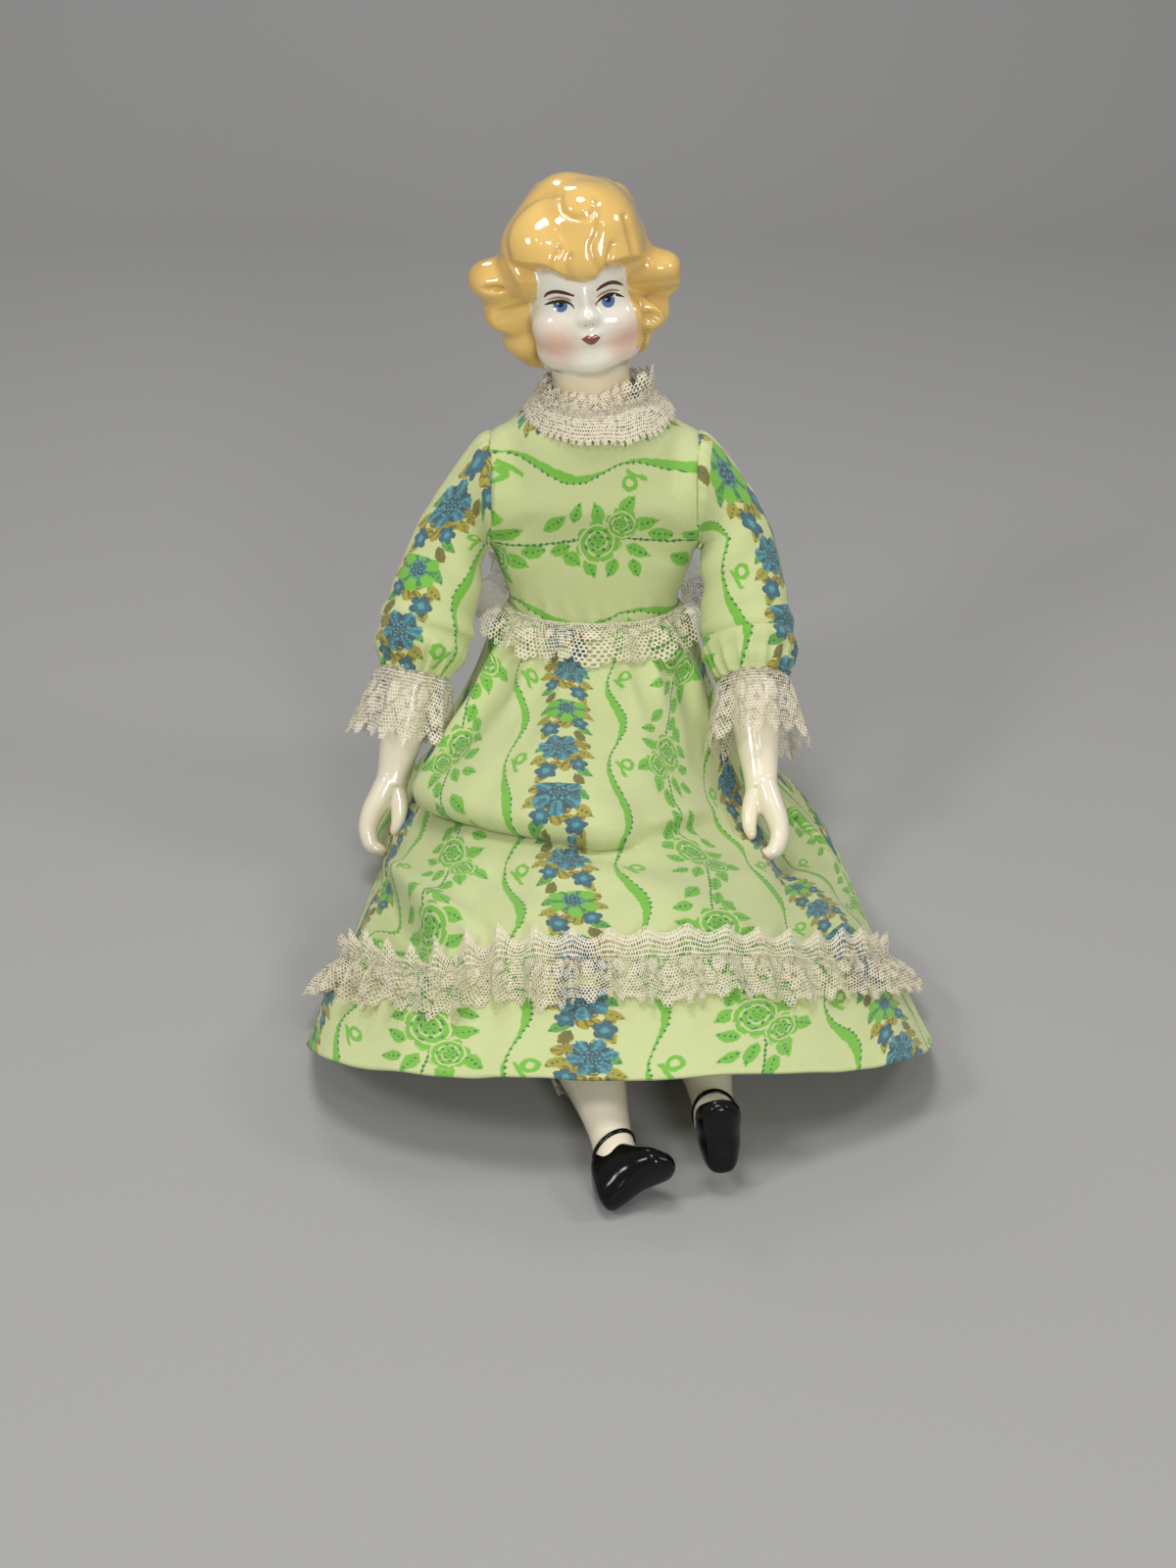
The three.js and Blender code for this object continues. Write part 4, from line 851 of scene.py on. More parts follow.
def upright_lumps(lumps):
    """Lumps given in an upright frame at the head's centre, in the head's own frame."""
    return [[*to_head(HEAD_CENTRE + np.asarray(lump[:3], float)), *lump[3:]] for lump in lumps]


def back_curls():
    """The lumps of the rows of curls round the back of the hair."""
    curls = []
    for row, (z, reach, size, count, start) in enumerate(BACK_CURLS):
        for k in range(count):
            turn = math.radians(start + (k + 0.5 * (row % 2)) * (180 - 2 * start) / (count - 0.5))
            x, y = reach * math.cos(turn), 6 + (reach - 5) * math.sin(turn)
            curls.append([x, y, z + 1.6 * math.sin(2.4 * k + row), size, size, size * 0.8])
    return upright_lumps(curls)


def walk_in(aims, distance):
    """The reach along each direction at which a distance becomes zero, from outside."""
    reach = np.full(aims.shape[:-1], 46.0)
    for _ in range(44):
        reach -= 0.62 * distance(aims * reach[..., None])
    return reach


def head_aims(rows, cols):
    """Directions out of the head's centre, closer together at the face."""
    polar = np.radians(np.concatenate([[0.05], np.linspace(0.9, NECK_ANGLE, rows - 1)]))
    even = np.arange(cols) / cols
    around = 2 * math.pi * even - 0.25 * np.sin(2 * math.pi * even) - math.pi / 2
    down, turn = np.meshgrid(polar, around, indexing="ij")
    return np.stack([np.sin(down) * np.cos(turn), np.sin(down) * np.sin(turn), np.cos(down)], -1)


def skin_reach(aims):
    """The reach of the bare head and neck, hollowed for the eyes and the line of the mouth."""
    def skin(points):
        return soft_least(lumps_distance(points, SKIN_LUMPS, 2.2)[0], neck_distance(points), 3.0)

    reach = walk_in(aims, skin)
    x, y, z = np.moveaxis(aims * reach[..., None], -1, 0)
    front = ramp(-y, 6, 10)
    for eye_x, eye_z in EYES.values():
        hollow = ((x - eye_x) / 5.6) ** 2 + ((z - eye_z - 0.3) / 3.6) ** 2
        ball = ((x - eye_x) / 4.2) ** 2 + ((z - eye_z) / 2.3) ** 2
        reach = reach - front * (1.2 * np.exp(-hollow) - 0.8 * np.exp(-ball))
    mouth = ((x - 1.2) / 3.4) ** 2 + ((z + 14.45) / 0.42) ** 2
    return reach - front * 0.35 * np.exp(-mouth)


def hair_edge(spots):
    """Distance of places on the skin from the edge of the hair, above zero under the hair."""
    x, y, z = np.moveaxis(spots, -1, 0)
    edge = np.maximum(outline_distance(x, z), np.minimum((y + 4.5) * 0.9, 6))
    lowest = 22 + 7 * ramp(y, -4, 3) + 0.25 * np.maximum(y, 0)
    jaw = (y + 6.5) * 0.8 + 2 * np.maximum(z + 14, 0) + 4 * np.maximum(x, 0)
    return np.minimum(np.minimum(edge, (z + lowest) * 0.8), jaw)


def curl_whorls(spots, curls):
    """How deep the spiral lines on the curls are, from 0 to 1."""
    whorls = np.zeros(spots.shape[:-1])
    for x, y, z, size, _, _ in curls:
        out = unit(np.array([x, y - 4, z * 0.5]))
        across = unit(np.cross(out, UP))
        away = spots - np.array([x, y, z])
        right, rise = away @ across, away @ np.cross(across, out)
        far = np.hypot(right, rise)
        curl = 0.5 + 0.5 * np.sin(np.arctan2(rise, right) + 1.25 * far)
        inside = (1 - ramp(far, 0.6 * size, size)) * ramp(away @ out, 0, 2)
        whorls = np.maximum(whorls, curl * inside)
    return whorls


def hair_reach(aims):
    """The reach of the carved hair, and a share that falls where painted shade darkens its creases, grooves
    and curl whorls.
    """
    curls = back_curls()
    lumps = upright_lumps(HAIR_LUMPS) + curls
    dimples = upright_lumps(CURL_DIMPLES)

    def combed(points):
        dome, _ = lumps_distance(points, lumps[:DOME_LUMPS], 7.0)
        return lumps_distance(points, lumps[DOME_LUMPS:], 4.6, dome)

    def locks(points):
        whole, _ = combed(points)
        for dimple in dimples:
            whole = -soft_least(-whole, lump_reach(points, dimple), 2.0)
        return whole

    reach = walk_in(aims, locks)
    spots = aims * reach[..., None]
    _, crease = combed(spots)
    whorls = curl_whorls(spots, curls)
    seen = to_world(spots) - HEAD_CENTRE
    carved = np.zeros_like(reach)
    for line in HAIR_GROOVES:
        smooth = smooth_rows(line, np.linspace(0, len(line) - 1, 4 * len(line)))
        carved = np.maximum(carved, bell(line_distance(seen[..., 0], seen @ VIEW_UP, smooth), 0, 1.1))
    carved = carved * (1 - ramp(seen[..., 1], 2, 9))
    # Painted shade: the paint darkens where lumps meet in creases, in the carved grooves and in the curl
    # whorls.
    light = ramp(crease, 0.0, 3.0) * (1 - 0.7 * np.maximum(carved, 0.6 * whorls))
    return reach - GROOVE_DEPTH * carved - WHORL_DEPTH * whorls, light


def head_grid(rows, cols):
    """The head's surface as a grid with its hair values and the painted shade of the hair's creases, in the
    model's frame.
    """
    aims = head_aims(rows, cols)
    base = skin_reach(aims)
    edge = hair_edge(aims * base[..., None])
    hair, light = hair_reach(aims)
    reach = base + (np.maximum(hair, base + HAIR_LEAST) - base) * ramp(edge, -0.3, 1.8)
    return to_world(aims * reach[..., None]), edge, light


def build_head(looks):
    """The glazed head with its hair, neck and shoulder plate in one skin."""
    points, hair, crease = head_grid(HEAD_ROWS, HEAD_COLS)
    last = points[-1]
    heights = np.concatenate([np.linspace(167, 152, 7), np.linspace(150, NECK[-1][0], 10)])
    table = np.asarray(NECK)[::-1]
    wide, deep, x, y = keyed_rows(table, heights).T[..., None]
    top_wide, top_deep, top_x, top_y = keyed_rows(table, last[:, 2].mean())
    turn = np.arctan2((last[:, 1] - top_y) / top_deep, (last[:, 0] - top_x) / top_wide)
    rings = np.broadcast_arrays(x + wide * np.cos(turn), y + deep * np.sin(turn), heights[:, None])
    grid = np.concatenate([points, np.stack(rings, -1)])
    faces = [list(face) for face in grid_faces(len(grid), HEAD_COLS, True)]
    faces.append(list(range(HEAD_COLS))[::-1])
    piece = make_piece("china_head", grid, faces, glaze(looks))
    bare = np.full((len(heights), HEAD_COLS), -5.0)
    note(piece, "hair", np.concatenate([hair, bare]))
    # The crease values carry the painted shade of the hair's creases, grooves and whorls; the neck rows take
    # none.
    note(piece, "crease", np.concatenate([crease, np.ones_like(bare)]))
    face_out(piece)
    place(piece, "torso", "glazed_porcelain", "shoulder_head", "head_stuffing")
    return piece


# Colours of the face's paint
BROW = (0.07, 0.012, 0.012)
LASH = (0.01, 0.007, 0.01)
LID_CREASE = (0.42, 0.22, 0.13)
LIP = (0.31, 0.07, 0.05)
IRIS = (0.04, 0.1, 0.3)
IRIS_LIGHT = (0.09, 0.2, 0.46)
PUPIL = (0.004, 0.004, 0.006)
GLINT = (0.9, 0.93, 0.97)
# Rings of a painted eye: share of its size, colour and cover
IRIS_RINGS = [(0.25, IRIS, 1.0), (0.7, IRIS_LIGHT, 0.95), (0.88, IRIS, 0.9), (1.0, IRIS, 0.0)]
PUPIL_RINGS = [(0.5, PUPIL, 1.0), (0.88, PUPIL, 1.0), (1.0, PUPIL, 0.0)]
GLINT_RINGS = [(0.5, GLINT, 1.0), (1.0, GLINT, 0.2)]
# Strokes: points as x and z in the head's frame, half widths along them and a colour
STROKES = [
    ([(-12.2, -0.9), (-10.9, 0.7), (-8.7, 1.6), (-6.0, 1.35), (-2.7, 0.1)],
     [0.16, 0.6, 0.74, 0.74, 0.38], BROW),
    ([(4.9, 0.7), (7.3, 1.75), (10.2, 1.8), (12.6, 0.4), (14.4, -1.6)],
     [0.38, 0.74, 0.76, 0.6, 0.14], BROW),
    ([(-12.4, -3.5), (-10.2, -2.5), (-7.4, -1.75), (-4.9, -2.2), (-3.2, -3.6)],
     [0.1, 0.5, 0.66, 0.55, 0.22], LASH),
    ([(4.6, -3.5), (6.2, -2.5), (8.8, -2.05), (11.4, -2.8), (14.0, -4.2)],
     [0.22, 0.52, 0.66, 0.52, 0.1], LASH),
    ([(-11.2, -1.7), (-8.2, -0.55), (-5.2, -0.85), (-3.6, -1.8)], [0.15, 0.5, 0.5, 0.15], LID_CREASE),
    ([(4.6, -1.8), (6.6, -0.95), (9.6, -0.85), (12.8, -2.3)], [0.15, 0.5, 0.5, 0.15], LID_CREASE),
    ([(-3.7, -3.2), (-3.1, -4.3)], [0.34, 0.18], LIP),
    ([(4.3, -3.2), (4.2, -4.4)], [0.34, 0.18], LIP),
    ([(-0.4, -9.5), (0.1, -9.7)], [0.2, 0.18], LID_CREASE),
    ([(2.0, -9.7), (2.5, -9.5)], [0.18, 0.2], LID_CREASE),
]
LIPS_TOP = [
    (-2.0, -14.3), (-1.0, -13.4), (0.2, -12.7), (1.2, -13.4), (2.5, -12.8), (3.6, -13.6), (4.4, -14.6),
]
LIPS_LOW = [
    (-2.0, -14.3), (-0.9, -15.4), (0.2, -16.3), (1.2, -16.6), (2.3, -16.3), (3.4, -15.5), (4.4, -14.6),
]


class FaceBrush:
    """Lays flat shapes, given as x and z in the head's frame, on the head's skin."""

    def __init__(self, head):
        head.data.calc_loop_triangles()
        corners = [tuple(triangle.vertices) for triangle in head.data.loop_triangles]
        self.skin = BVHTree.FromPolygons([tuple(p) for p in points_of(head)], corners)
        self.aim = to_world(np.array([0.0, 1.0, 0.0])) - HEAD_CENTRE
        self.parts, self.colours, self.covers = [], [], []

    def on_skin(self, x, z, lift):
        """The place on the skin behind x and z, lifted off it."""
        hit = self.skin.ray_cast(Vector(to_world(np.array([x, -60.0, z]))), Vector(self.aim))
        if hit[0] is None:
            raise RuntimeError(f"the face has no skin at {x}, {z}")
        return np.array(hit[0]) - lift * self.aim

    def lay(self, flat, faces, colours, covers, lift):
        """Adds a shape with a colour and a cover for each point."""
        self.parts.append((np.array([self.on_skin(x, z, lift) for x, z in flat]), faces))
        self.colours.extend(colours)
        self.covers.extend(covers)

    def disc(self, x, z, wide, high, rows, lift, cut):
        """A round spot in rings of share, colour and cover, cut off at a height."""
        count = 28
        flat, colours, covers = [(x, z)], [rows[0][1]], [1.0]
        for share, colour, cover in rows:
            for turn in full_turn(count):
                flat.append((x + wide * share * math.cos(turn), min(z + high * share * math.sin(turn), cut)))
            colours += [colour] * count
            covers += [cover] * count
        faces = [[0, 1 + k, 1 + (k + 1) % count] for k in range(count)]
        faces += (1 + grid_faces(len(rows), count, True)[:, [0, 3, 2, 1]]).tolist()
        self.lay(flat, faces, colours, covers, lift)

    def band(self, flat, colours, covers, lift):
        """A grid whose columns each have a colour and a cover."""
        rows, cols = flat.shape[:2]
        faces = grid_faces(rows, cols, False).tolist()
        self.lay(flat.reshape(-1, 2), faces, colours * rows, covers * rows, lift)

    def stroke(self, line, widths, colour):
        """A brush stroke along a line, thin at both edges."""
        at = np.linspace(0, len(line) - 1, 26)
        path = smooth_rows(line, at)
        half = smooth_rows([[w] for w in widths], at)
        ahead = unit(np.gradient(path, axis=0))
        side = np.stack([-ahead[:, 1], ahead[:, 0]], -1) * half
        shares = np.array([-1.0, -0.7, 0.7, 1.0])[:, None]
        self.band(path[:, None] + side[:, None] * shares, [colour] * 4, [0.0, 1.0, 1.0, 0.0], 0.1)

    def lips(self, top, low):
        """Both lips between an upper and a lower line, darker where they meet."""
        at = np.linspace(0, len(top) - 1, 25)
        top, low = smooth_rows(top, at), smooth_rows(low, at)
        shares = np.array([0.0, 0.12, 0.35, 0.5, 0.65, 0.88, 1.0])
        tones = [tuple(np.array(LIP) * (0.62 if share == 0.5 else 1.0)) for share in shares]
        covers = [0.0 if share in (0.0, 1.0) else 0.95 for share in shares]
        self.band(top[:, None] + (low - top)[:, None] * shares[:, None], tones, covers, 0.06)


def build_face(head):
    """Painted brows, lids, eyes and lips, lying on the glaze."""
    brush = FaceBrush(head)
    for x, z in EYES.values():
        lid = z + 0.9
        brush.disc(x, z - 0.45, 2.35, 2.1, IRIS_RINGS, 0.05, lid)
        brush.disc(x, z + 0.2, 1.2, 1.15, PUPIL_RINGS, 0.08, lid)
        brush.disc(x - 0.7, z + 0.1, 0.3, 0.3, GLINT_RINGS, 0.11, z + 2)
    for line, widths, colour in STROKES:
        brush.stroke(line, widths, colour)
    brush.lips(LIPS_TOP, LIPS_LOW)
    piece = make_piece("face_paint", *joined(brush.parts), face_colours())
    layer = piece.data.attributes.new("brush", "FLOAT_COLOR", "POINT")
    layer.data.foreach_set("color", np.array([opaque(c) for c in brush.colours], np.float32).ravel())
    note(piece, "cover", brush.covers)
    place(piece, "torso", "glazed_porcelain")


# Stuffed body and dress


def torso_ring(z, grow, turns, rise=0.0):
    """Points round the body at a height, moved outwards."""
    wide, deep, y, power = keyed_rows(TORSO, np.asarray(z))
    x = (wide + grow) * squared(np.cos(turns), power)
    back = y + (deep + grow) * squared(np.sin(turns), power)
    return np.stack([x, back, np.full_like(x, z + rise)], -1)


def build_body(looks):
    """The stuffed muslin trunk under the dress, with a seam down each side."""
    turns = full_turn(96)
    heights = np.concatenate([np.linspace(2.6, 20, 8), np.linspace(24, 142, 46), [145, 146.8]])
    side = np.abs(np.cos(turns))
    seam = bell(side, 1, 0.004)
    rings = []
    for z in heights:
        pucker = 0.35 * np.sin(z * 1.1 + 2 * np.sin(3 * turns)) * bell(side, 1, 0.25)
        rings.append(torso_ring(z, pucker - 0.7 * seam - 0.15, turns))
    cloth = plain_cloth("muslin", looks.muslin, looks.muslin_shade, 0.0007)
    piece = solid_piece("stuffed_trunk", closed_tube(np.array(rings)), cloth)
    place(piece, "torso", "muslin", "torso_casing", "torso_stuffing")
    return cloth


def bodice_grow(z):
    """How far the bodice's outside stands off the body at a height."""
    return BODICE_EASE + COTTON + PLATE_GROW * np.interp(z, [CHEST_Z, PLATE_Z], [0, 1])


def cut_open(piece):
    """Opens the bodice's closed form at the waist, the armholes and the neck."""
    work = bmesh.new()
    work.from_mesh(piece.data)
    drop = []
    for face in work.faces:
        x, _, z = face.calc_center_median() / MM
        if z < WAIST_Z + 0.6 or z > BODICE_TOP_Z or abs(x) > ARMHOLE_CUT_X:
            drop.append(face)
    bmesh.ops.delete(work, geom=drop, context="FACES")
    work.to_mesh(piece.data)
    work.free()


def bodice_form():
    """The bodice's closed trunk and the two tubes of its armholes, as points and faces."""
    turns = full_turn(120)
    heights = np.concatenate([np.linspace(80.5, 126, 40), np.linspace(128, 146.5, 16), [148]])
    flare = 5.4 * ramp(heights, 84, 107) * (1 - ramp(heights, 122, 138))
    rings = []
    for z, wide in zip(heights, flare):
        grow = bodice_grow(z) + wide * np.abs(np.cos(turns)) ** 3
        rings.append(torso_ring(z, grow, turns, 2 * float(np.interp(z, [126, 144], [0, 1]))))
    parts = [closed_tube(np.array(rings))]
    for sign in SIDES.values():
        centres = np.array([[sign * x, *ARMHOLE[1:]] for x in np.linspace(20, 37.4, 12)])
        aims = np.repeat([[float(sign), 0, 0]], 12, 0)
        radii = np.full(12, ARMHOLE_R)
        parts.append(closed_tube(rings_on(centres, aims, radii, radii, full_turn(64), UP)))
    return joined(parts)


def build_bodice(cotton):
    """The bodice: a fitted tube with round armholes and sloping shoulders."""
    piece = solid_piece("bodice_cloth", bodice_form(), cotton)
    melt(piece, 1.0, 24)
    cut_open(piece)
    shape = points_of(piece)
    inward = np.clip((ARMHOLE_CUT_X - np.abs(shape[:, 0])) / 17, 0, 0.52)
    slope = 10.0 * inward**0.8 * ramp(shape[:, 2], 132, 146)
    shape[:, 2] += slope + 2.0 * ramp(shape[:, 2], 133, 143)
    x, y, z = shape.T
    out = unit(np.stack([x, y - 1, np.zeros_like(z)], -1))
    pull = 0.5 * np.sin(z * 0.55 + np.abs(x) * 0.35) * bell(np.abs(x), 27, 7) * bell(z, 112, 12)
    tug = 0.35 * np.sin(x * 0.9 + z * 0.25) * bell(z, 86, 6)
    shape += out * (pull + tug)[:, None]
    piece.data.vertices.foreach_set("co", (shape * MM).astype(np.float32).ravel())
    corner = np.empty(len(piece.data.loops), np.int32)
    piece.data.loops.foreach_get("vertex_index", corner)
    along = np.arctan2(x, -(y - 1)) * BODICE_GIRTH + 62.0
    cloth = np.stack([PRINT_TOP_Z - z, along], -1)[corner]
    layer = piece.data.uv_layers.new(name="print")
    layer.data.foreach_set("uv", cloth.astype(np.float32).ravel())
    thicken(piece, 0.7)
    place(piece, "torso", "printed_cotton", "bodice")


def build_placket(cotton, thread):
    """The flap that closes the bodice's back, hemmed and sewn along its edges."""
    half, lift = 5.5, COTTON + 1.6

    def back_of(z):
        return torso_ring(z, bodice_grow(z) + lift, np.array([math.pi / 2]))[0, 1]

    cols = np.linspace(-1, 1, 25)
    rows = []
    for z in np.linspace(WAIST_Z + 5.6, 133.8, 60):
        welt = 0.35 * bell(np.abs(cols), 0.8, 0.16) + 0.12 * np.sin(z * 0.6) * cols
        rows.append(np.stack([cols * half, back_of(z) - 0.4 + welt, np.full_like(cols, z)], -1))
    grid = np.array(rows)
    cloth = grid_print(PRINT_TOP_Z - grid[..., 2], grid[..., 0] + 30)
    piece = make_piece("back_placket_cloth", grid, grid_faces(60, 25, False), cotton, cloth)
    sew = []
    aims = np.repeat([UP], 3, 0)
    radii = np.array([0.1, 0.2, 0.1])
    for edge in (-0.8, 0.8):
        for z in np.arange(WAIST_Z + 7, 133, 2.2):
            back = back_of(z) + 0.15
            centres = np.array([[edge * half, back + bow, z + rise]
                                for bow, rise in ((0, -0.75), (0.14, 0), (0, 0.75))])
            sew.append(closed_tube(rings_on(centres, aims, radii, radii, full_turn(6), FRONT)))
    stitches = make_piece("placket_stitches", *joined(sew), thread)
    place(stitches, "torso", "thread")
    thicken(piece, 0.6)
    place(piece, "torso", "printed_cotton", "back_placket")


def arm_line(side):
    """The arm's places: a turn out of the armhole, a straight run and the forearm, in the model's frame."""
    sign = SIDES[side]
    splay = math.radians(ARM_SPLAY[side])
    aim = np.array([sign * math.sin(splay), 0, -math.cos(splay)])
    bend = math.pi / 2 - splay
    underarm = np.array([sign * ARMHOLE_GAP, 0, -ARMHOLE_R])
    inward = math.radians(FOREARM_SPLAY[side])
    low = spin("X", -ELBOW_BEND[side]) @ np.array([sign * math.sin(inward), 0, -math.cos(inward)])
    frame_turn = spin("X", -ARM_FORWARD[side])
    root = ARMHOLE * np.array([sign, 1, 1])

    def turned(share):
        angle = bend * share
        full = float(keyed_rows(SHOULDER, share)[0])
        centre = underarm + full * np.array([sign * math.sin(angle), 0, math.cos(angle)])
        return centre, np.array([sign * math.cos(angle), 0, -math.sin(angle)]), full

    elbow = turned(1.0)[0] + aim * ELBOW_T

    def at(t):
        way = aim if t < ELBOW_T else low
        return elbow + way * (t - ELBOW_T)

    def world(points):
        return points @ frame_turn.T + root

    return {
        "sign": sign, "turned": turned, "at": at, "world": world, "spin": frame_turn,
        "elbow": elbow, "low": low,
    }


def arm_stations(side, shares, lengths):
    """Centres and directions down an arm in the model's frame, and the radii of the turn."""
    line = arm_line(side)
    turned = [line["turned"](share) for share in shares]
    centres = np.array([centre for centre, _, _ in turned] + [line["at"](t) for t in lengths])
    straight = slice(len(shares), len(centres) - 1)
    for _ in range(6):
        eased = (centres[:-2] + 2 * centres[1:-1] + centres[2:]) / 4
        centres[straight] = eased[len(shares) - 1:]
    aims = unit(np.gradient(centres, axis=0))
    aims[:len(turned)] = [way for _, way, _ in turned]
    radii = np.array([full for _, _, full in turned])
    return line["world"](centres), aims @ line["spin"].T, radii, line


def sleeve_folds(run, turns, t, sign):
    """How far a sleeve stands off its plain tube: cuff gathers, a raised cap, its seam and creases."""
    gather = ramp(t, 34, 49)
    drawn = gather * (0.75 * np.cos(19 * turns + 0.8 * np.sin(5 * turns)) + 0.3 * np.cos(31 * turns + 2))
    eased = 0.35 * bell(run, 4, 7) * np.cos(24 * turns) * ramp(np.sin(turns), -0.2, 0.6)
    raised = 2.4 * bell(run, 0, 9) * ramp(np.sin(turns), -0.7, 0.6)
    seam = 0.9 * bell(run, 0, 2.0)
    way = run * 0.16 + 1.9 * np.sin(turns - 0.6)
    crumple = 0.85 * np.sin(2.2 * way + sign) * bell(turns, -0.9, 1.1) * bell(run, 34, 20)
    elbow = 0.56 * np.sin(run * 0.62 + 1.3 * np.cos(turns)) * bell(run, 58, 13)
    soft = 0.5 * np.sin(run * 0.11 + 3 * turns) * ramp(run, 8, 30) * (1 - gather)
    return drawn + eased - seam + raised + crumple + elbow + soft


def build_sleeves(cotton):
    """Full sleeves, set into the armholes and drawn up at the cuff."""
    cols, start = 108, math.radians(-130)
    turns = full_turn(cols, start)
    ends = np.append(turns, start + 2 * math.pi)
    shares = np.linspace(0, 0.96, 30)
    lengths = np.linspace(0.8, CUFF_SEAM_T, 62)
    lap = np.array([[1.6], [0.8]])
    for side, sign in SIDES.items():
        centres, aims, turned, line = arm_stations(side, shares, lengths)
        radii = np.concatenate([turned, keyed_rows(SLEEVE, lengths)[:, 0]])
        for _ in range(40):
            radii[4:-8] = (radii[3:-9] + 2 * radii[4:-8] + radii[5:-7]) / 4
        centres = np.concatenate([centres[:1] - aims[:1] * lap, centres])
        aims = np.concatenate([aims[:1], aims[:1], aims])
        radii = np.concatenate([radii[:1], radii[:1], radii]) + 0.2
        first = unit(FRONT - (aims @ FRONT)[:, None] * aims)
        outer = sign * np.cross(first, aims)
        run = np.append(0, np.cumsum(np.linalg.norm(np.diff(centres, axis=0), axis=1)))
        t = np.concatenate([np.full(len(shares) + len(lap), -10.0), lengths])
        reach = radii[:, None] + sleeve_folds(run[:, None], turns[None], t[:, None], sign)
        spoke = first[:, None] * np.cos(turns)[:, None] + outer[:, None] * np.sin(turns)[:, None]
        grid = centres[:, None] + spoke * reach[..., None]
        across = (ends - math.radians(GARLAND_TURN[side])) * SLEEVE_GIRTH
        cloth = grid_print(*np.broadcast_arrays(across[None], (run + GARLAND_START[side])[:, None]))
        faces = grid_faces(len(grid), cols, True)
        piece = make_piece(f"{side}_sleeve_cloth", grid, faces, cotton, cloth)
        thicken(piece, 0.6)
        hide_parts(f"{side}_sleeve")
        bend_at(piece, line)


def bend_at(piece, line):
    """Puts the piece's placement into its mesh. The elbow's place is worked out but nothing bends round it.
    """
    elbow = line["world"](line["elbow"][None])[0]
    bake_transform(piece)


def build_upper_arms(muslin):
    """Stuffed cloth upper arms inside the sleeves."""
    lengths = np.linspace(-8, 41, 40)
    lengths = lengths[lengths > 0]
    shares = np.linspace(0.35, 0.9, 8)
    radii = keyed_rows(UPPER_ARM, np.concatenate([np.linspace(-18, -1, 8), lengths]))[:, 0]
    for side in SIDES:
        centres, aims, _, line = arm_stations(side, shares, lengths)
        rings = rings_on(centres, aims, radii, radii, full_turn(28), FRONT)
        piece = solid_piece(f"{side}_upper_arm_cloth", closed_tube(rings), muslin)
        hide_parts(f"{side}_upper_arm", f"{side}_arm_stuffing")
        bend_at(piece, line)


def limb_place(turn, root, across, front, down):
    """Places across, in front of and down a limb, turned and moved to its root."""
    local = np.broadcast_arrays(np.asarray(across, float), front, -np.asarray(down, float))
    return np.stack(local, -1) @ turn.T + root


def forearm_frame(side):
    """A change from the forearm's own places, e across, f forwards and t down, to the model's."""
    line = arm_line(side)
    low = line["low"]
    top = line["elbow"] + low * (FOREARM_TOP_T - ELBOW_T)
    turn = np.array(Vector((0, 0, -1)).rotation_difference(Vector(low)).to_matrix())

    def world(e, f, t):
        return line["world"](limb_place(turn, top, line["sign"] * np.asarray(e, float), f, t))

    return world


def limb_rings(world, stations, count, flat=1.0):
    """Rings across a bent finger or limb from places [e, t, r] in its frame."""
    at = np.linspace(0, len(stations) - 1, 6 * len(stations))
    e, t, r = smooth_rows(stations, at).T
    path = np.stack([e, np.zeros_like(e), -t], -1)
    aims = unit(np.gradient(path, axis=0))
    rings = rings_on(path, aims, r, r * flat, full_turn(count), np.array([0.0, 1.0, 0.0]))

    def end_ring(k, size, away):
        return path[k] + (rings[k] - path[k]) * size + aims[k] * away

    head = [end_ring(0, size, -away) for size, away in ((0.2, 0.9), (0.7, 0.6))]
    tail = [end_ring(-1, size, r[-1] * away) for size, away in ((0.8, 0.5), (0.45, 0.85), (0.1, 1.0))]
    rings = np.concatenate([head, rings, tail])
    return world(rings[..., 0], rings[..., 1], -rings[..., 2])


def build_forearms(looks):
    """Glazed forearms with a curled hand."""
    skin = limb_glaze(looks)
    t = np.linspace(2.4, 55, 60)[:, None]
    radii = keyed_rows(FOREARM, t[:, 0])
    turns = full_turn(36)
    for side in SIDES:
        world = forearm_frame(side)
        rings = world(np.cos(turns) * radii, np.sin(turns) * radii * 0.92, t)
        parts = [
            closed_tube(rings), closed_tube(limb_rings(world, FINGERS, 22, 0.8)),
            closed_tube(limb_rings(world, THUMB, 18)),
        ]
        piece = solid_piece(f"{side}_china_forearm", joined(parts), skin)
        melt(piece, 0.5, 7)
        shape = points_of(piece)
        away = [np.linalg.norm(shape - world(e, 0.0, end), axis=1) for e, end in TINTED_TIPS]
        note(piece, "tip", bell(np.minimum(*away), 0, 3.2))
        place(piece, f"{side}_hand", "glazed_porcelain", f"{side}_forearm")
    return skin


def leg_frame(side):
    """A change from a shin's own places, toe forwards and down the shin, to the model's."""
    aim = unit(np.array(SHIN_AIM[side]))
    down = Vector((0, -1, 0)).rotation_difference(Vector(aim)).to_matrix()
    turn = np.array(down) @ spin("X", -90) @ spin("Z", TOE_TURN[side])
    knee = np.array(KNEE[side], float)

    def world(x, y, t):
        return limb_place(turn, knee, x, y, t)

    return world


def shoe_form(world):
    """A shoe's shell, rounded at the heel and the toe."""
    count = 60
    rows = smooth_rows(SHOE, np.linspace(0, len(SHOE) - 1, count))
    station = np.concatenate([[0, 0], np.arange(count), [-1, -1]])
    size = np.concatenate([[0.3, 0.75], np.ones(count), [0.7, 0.3]])
    shift = np.concatenate([[0.8, 0.5], np.zeros(count), [-0.7, -1.1]])
    y, top, sole, wide = rows[station].T
    turns = full_turn(40)
    x = (wide * size)[:, None] * squared(np.cos(turns), SHOE_SQUARE)
    tall = ((sole - top) / 2 * size)[:, None] * squared(np.sin(turns), SHOE_SQUARE)
    return closed_tube(world(x, (y + shift)[:, None], ((top + sole) / 2)[:, None] + tall))


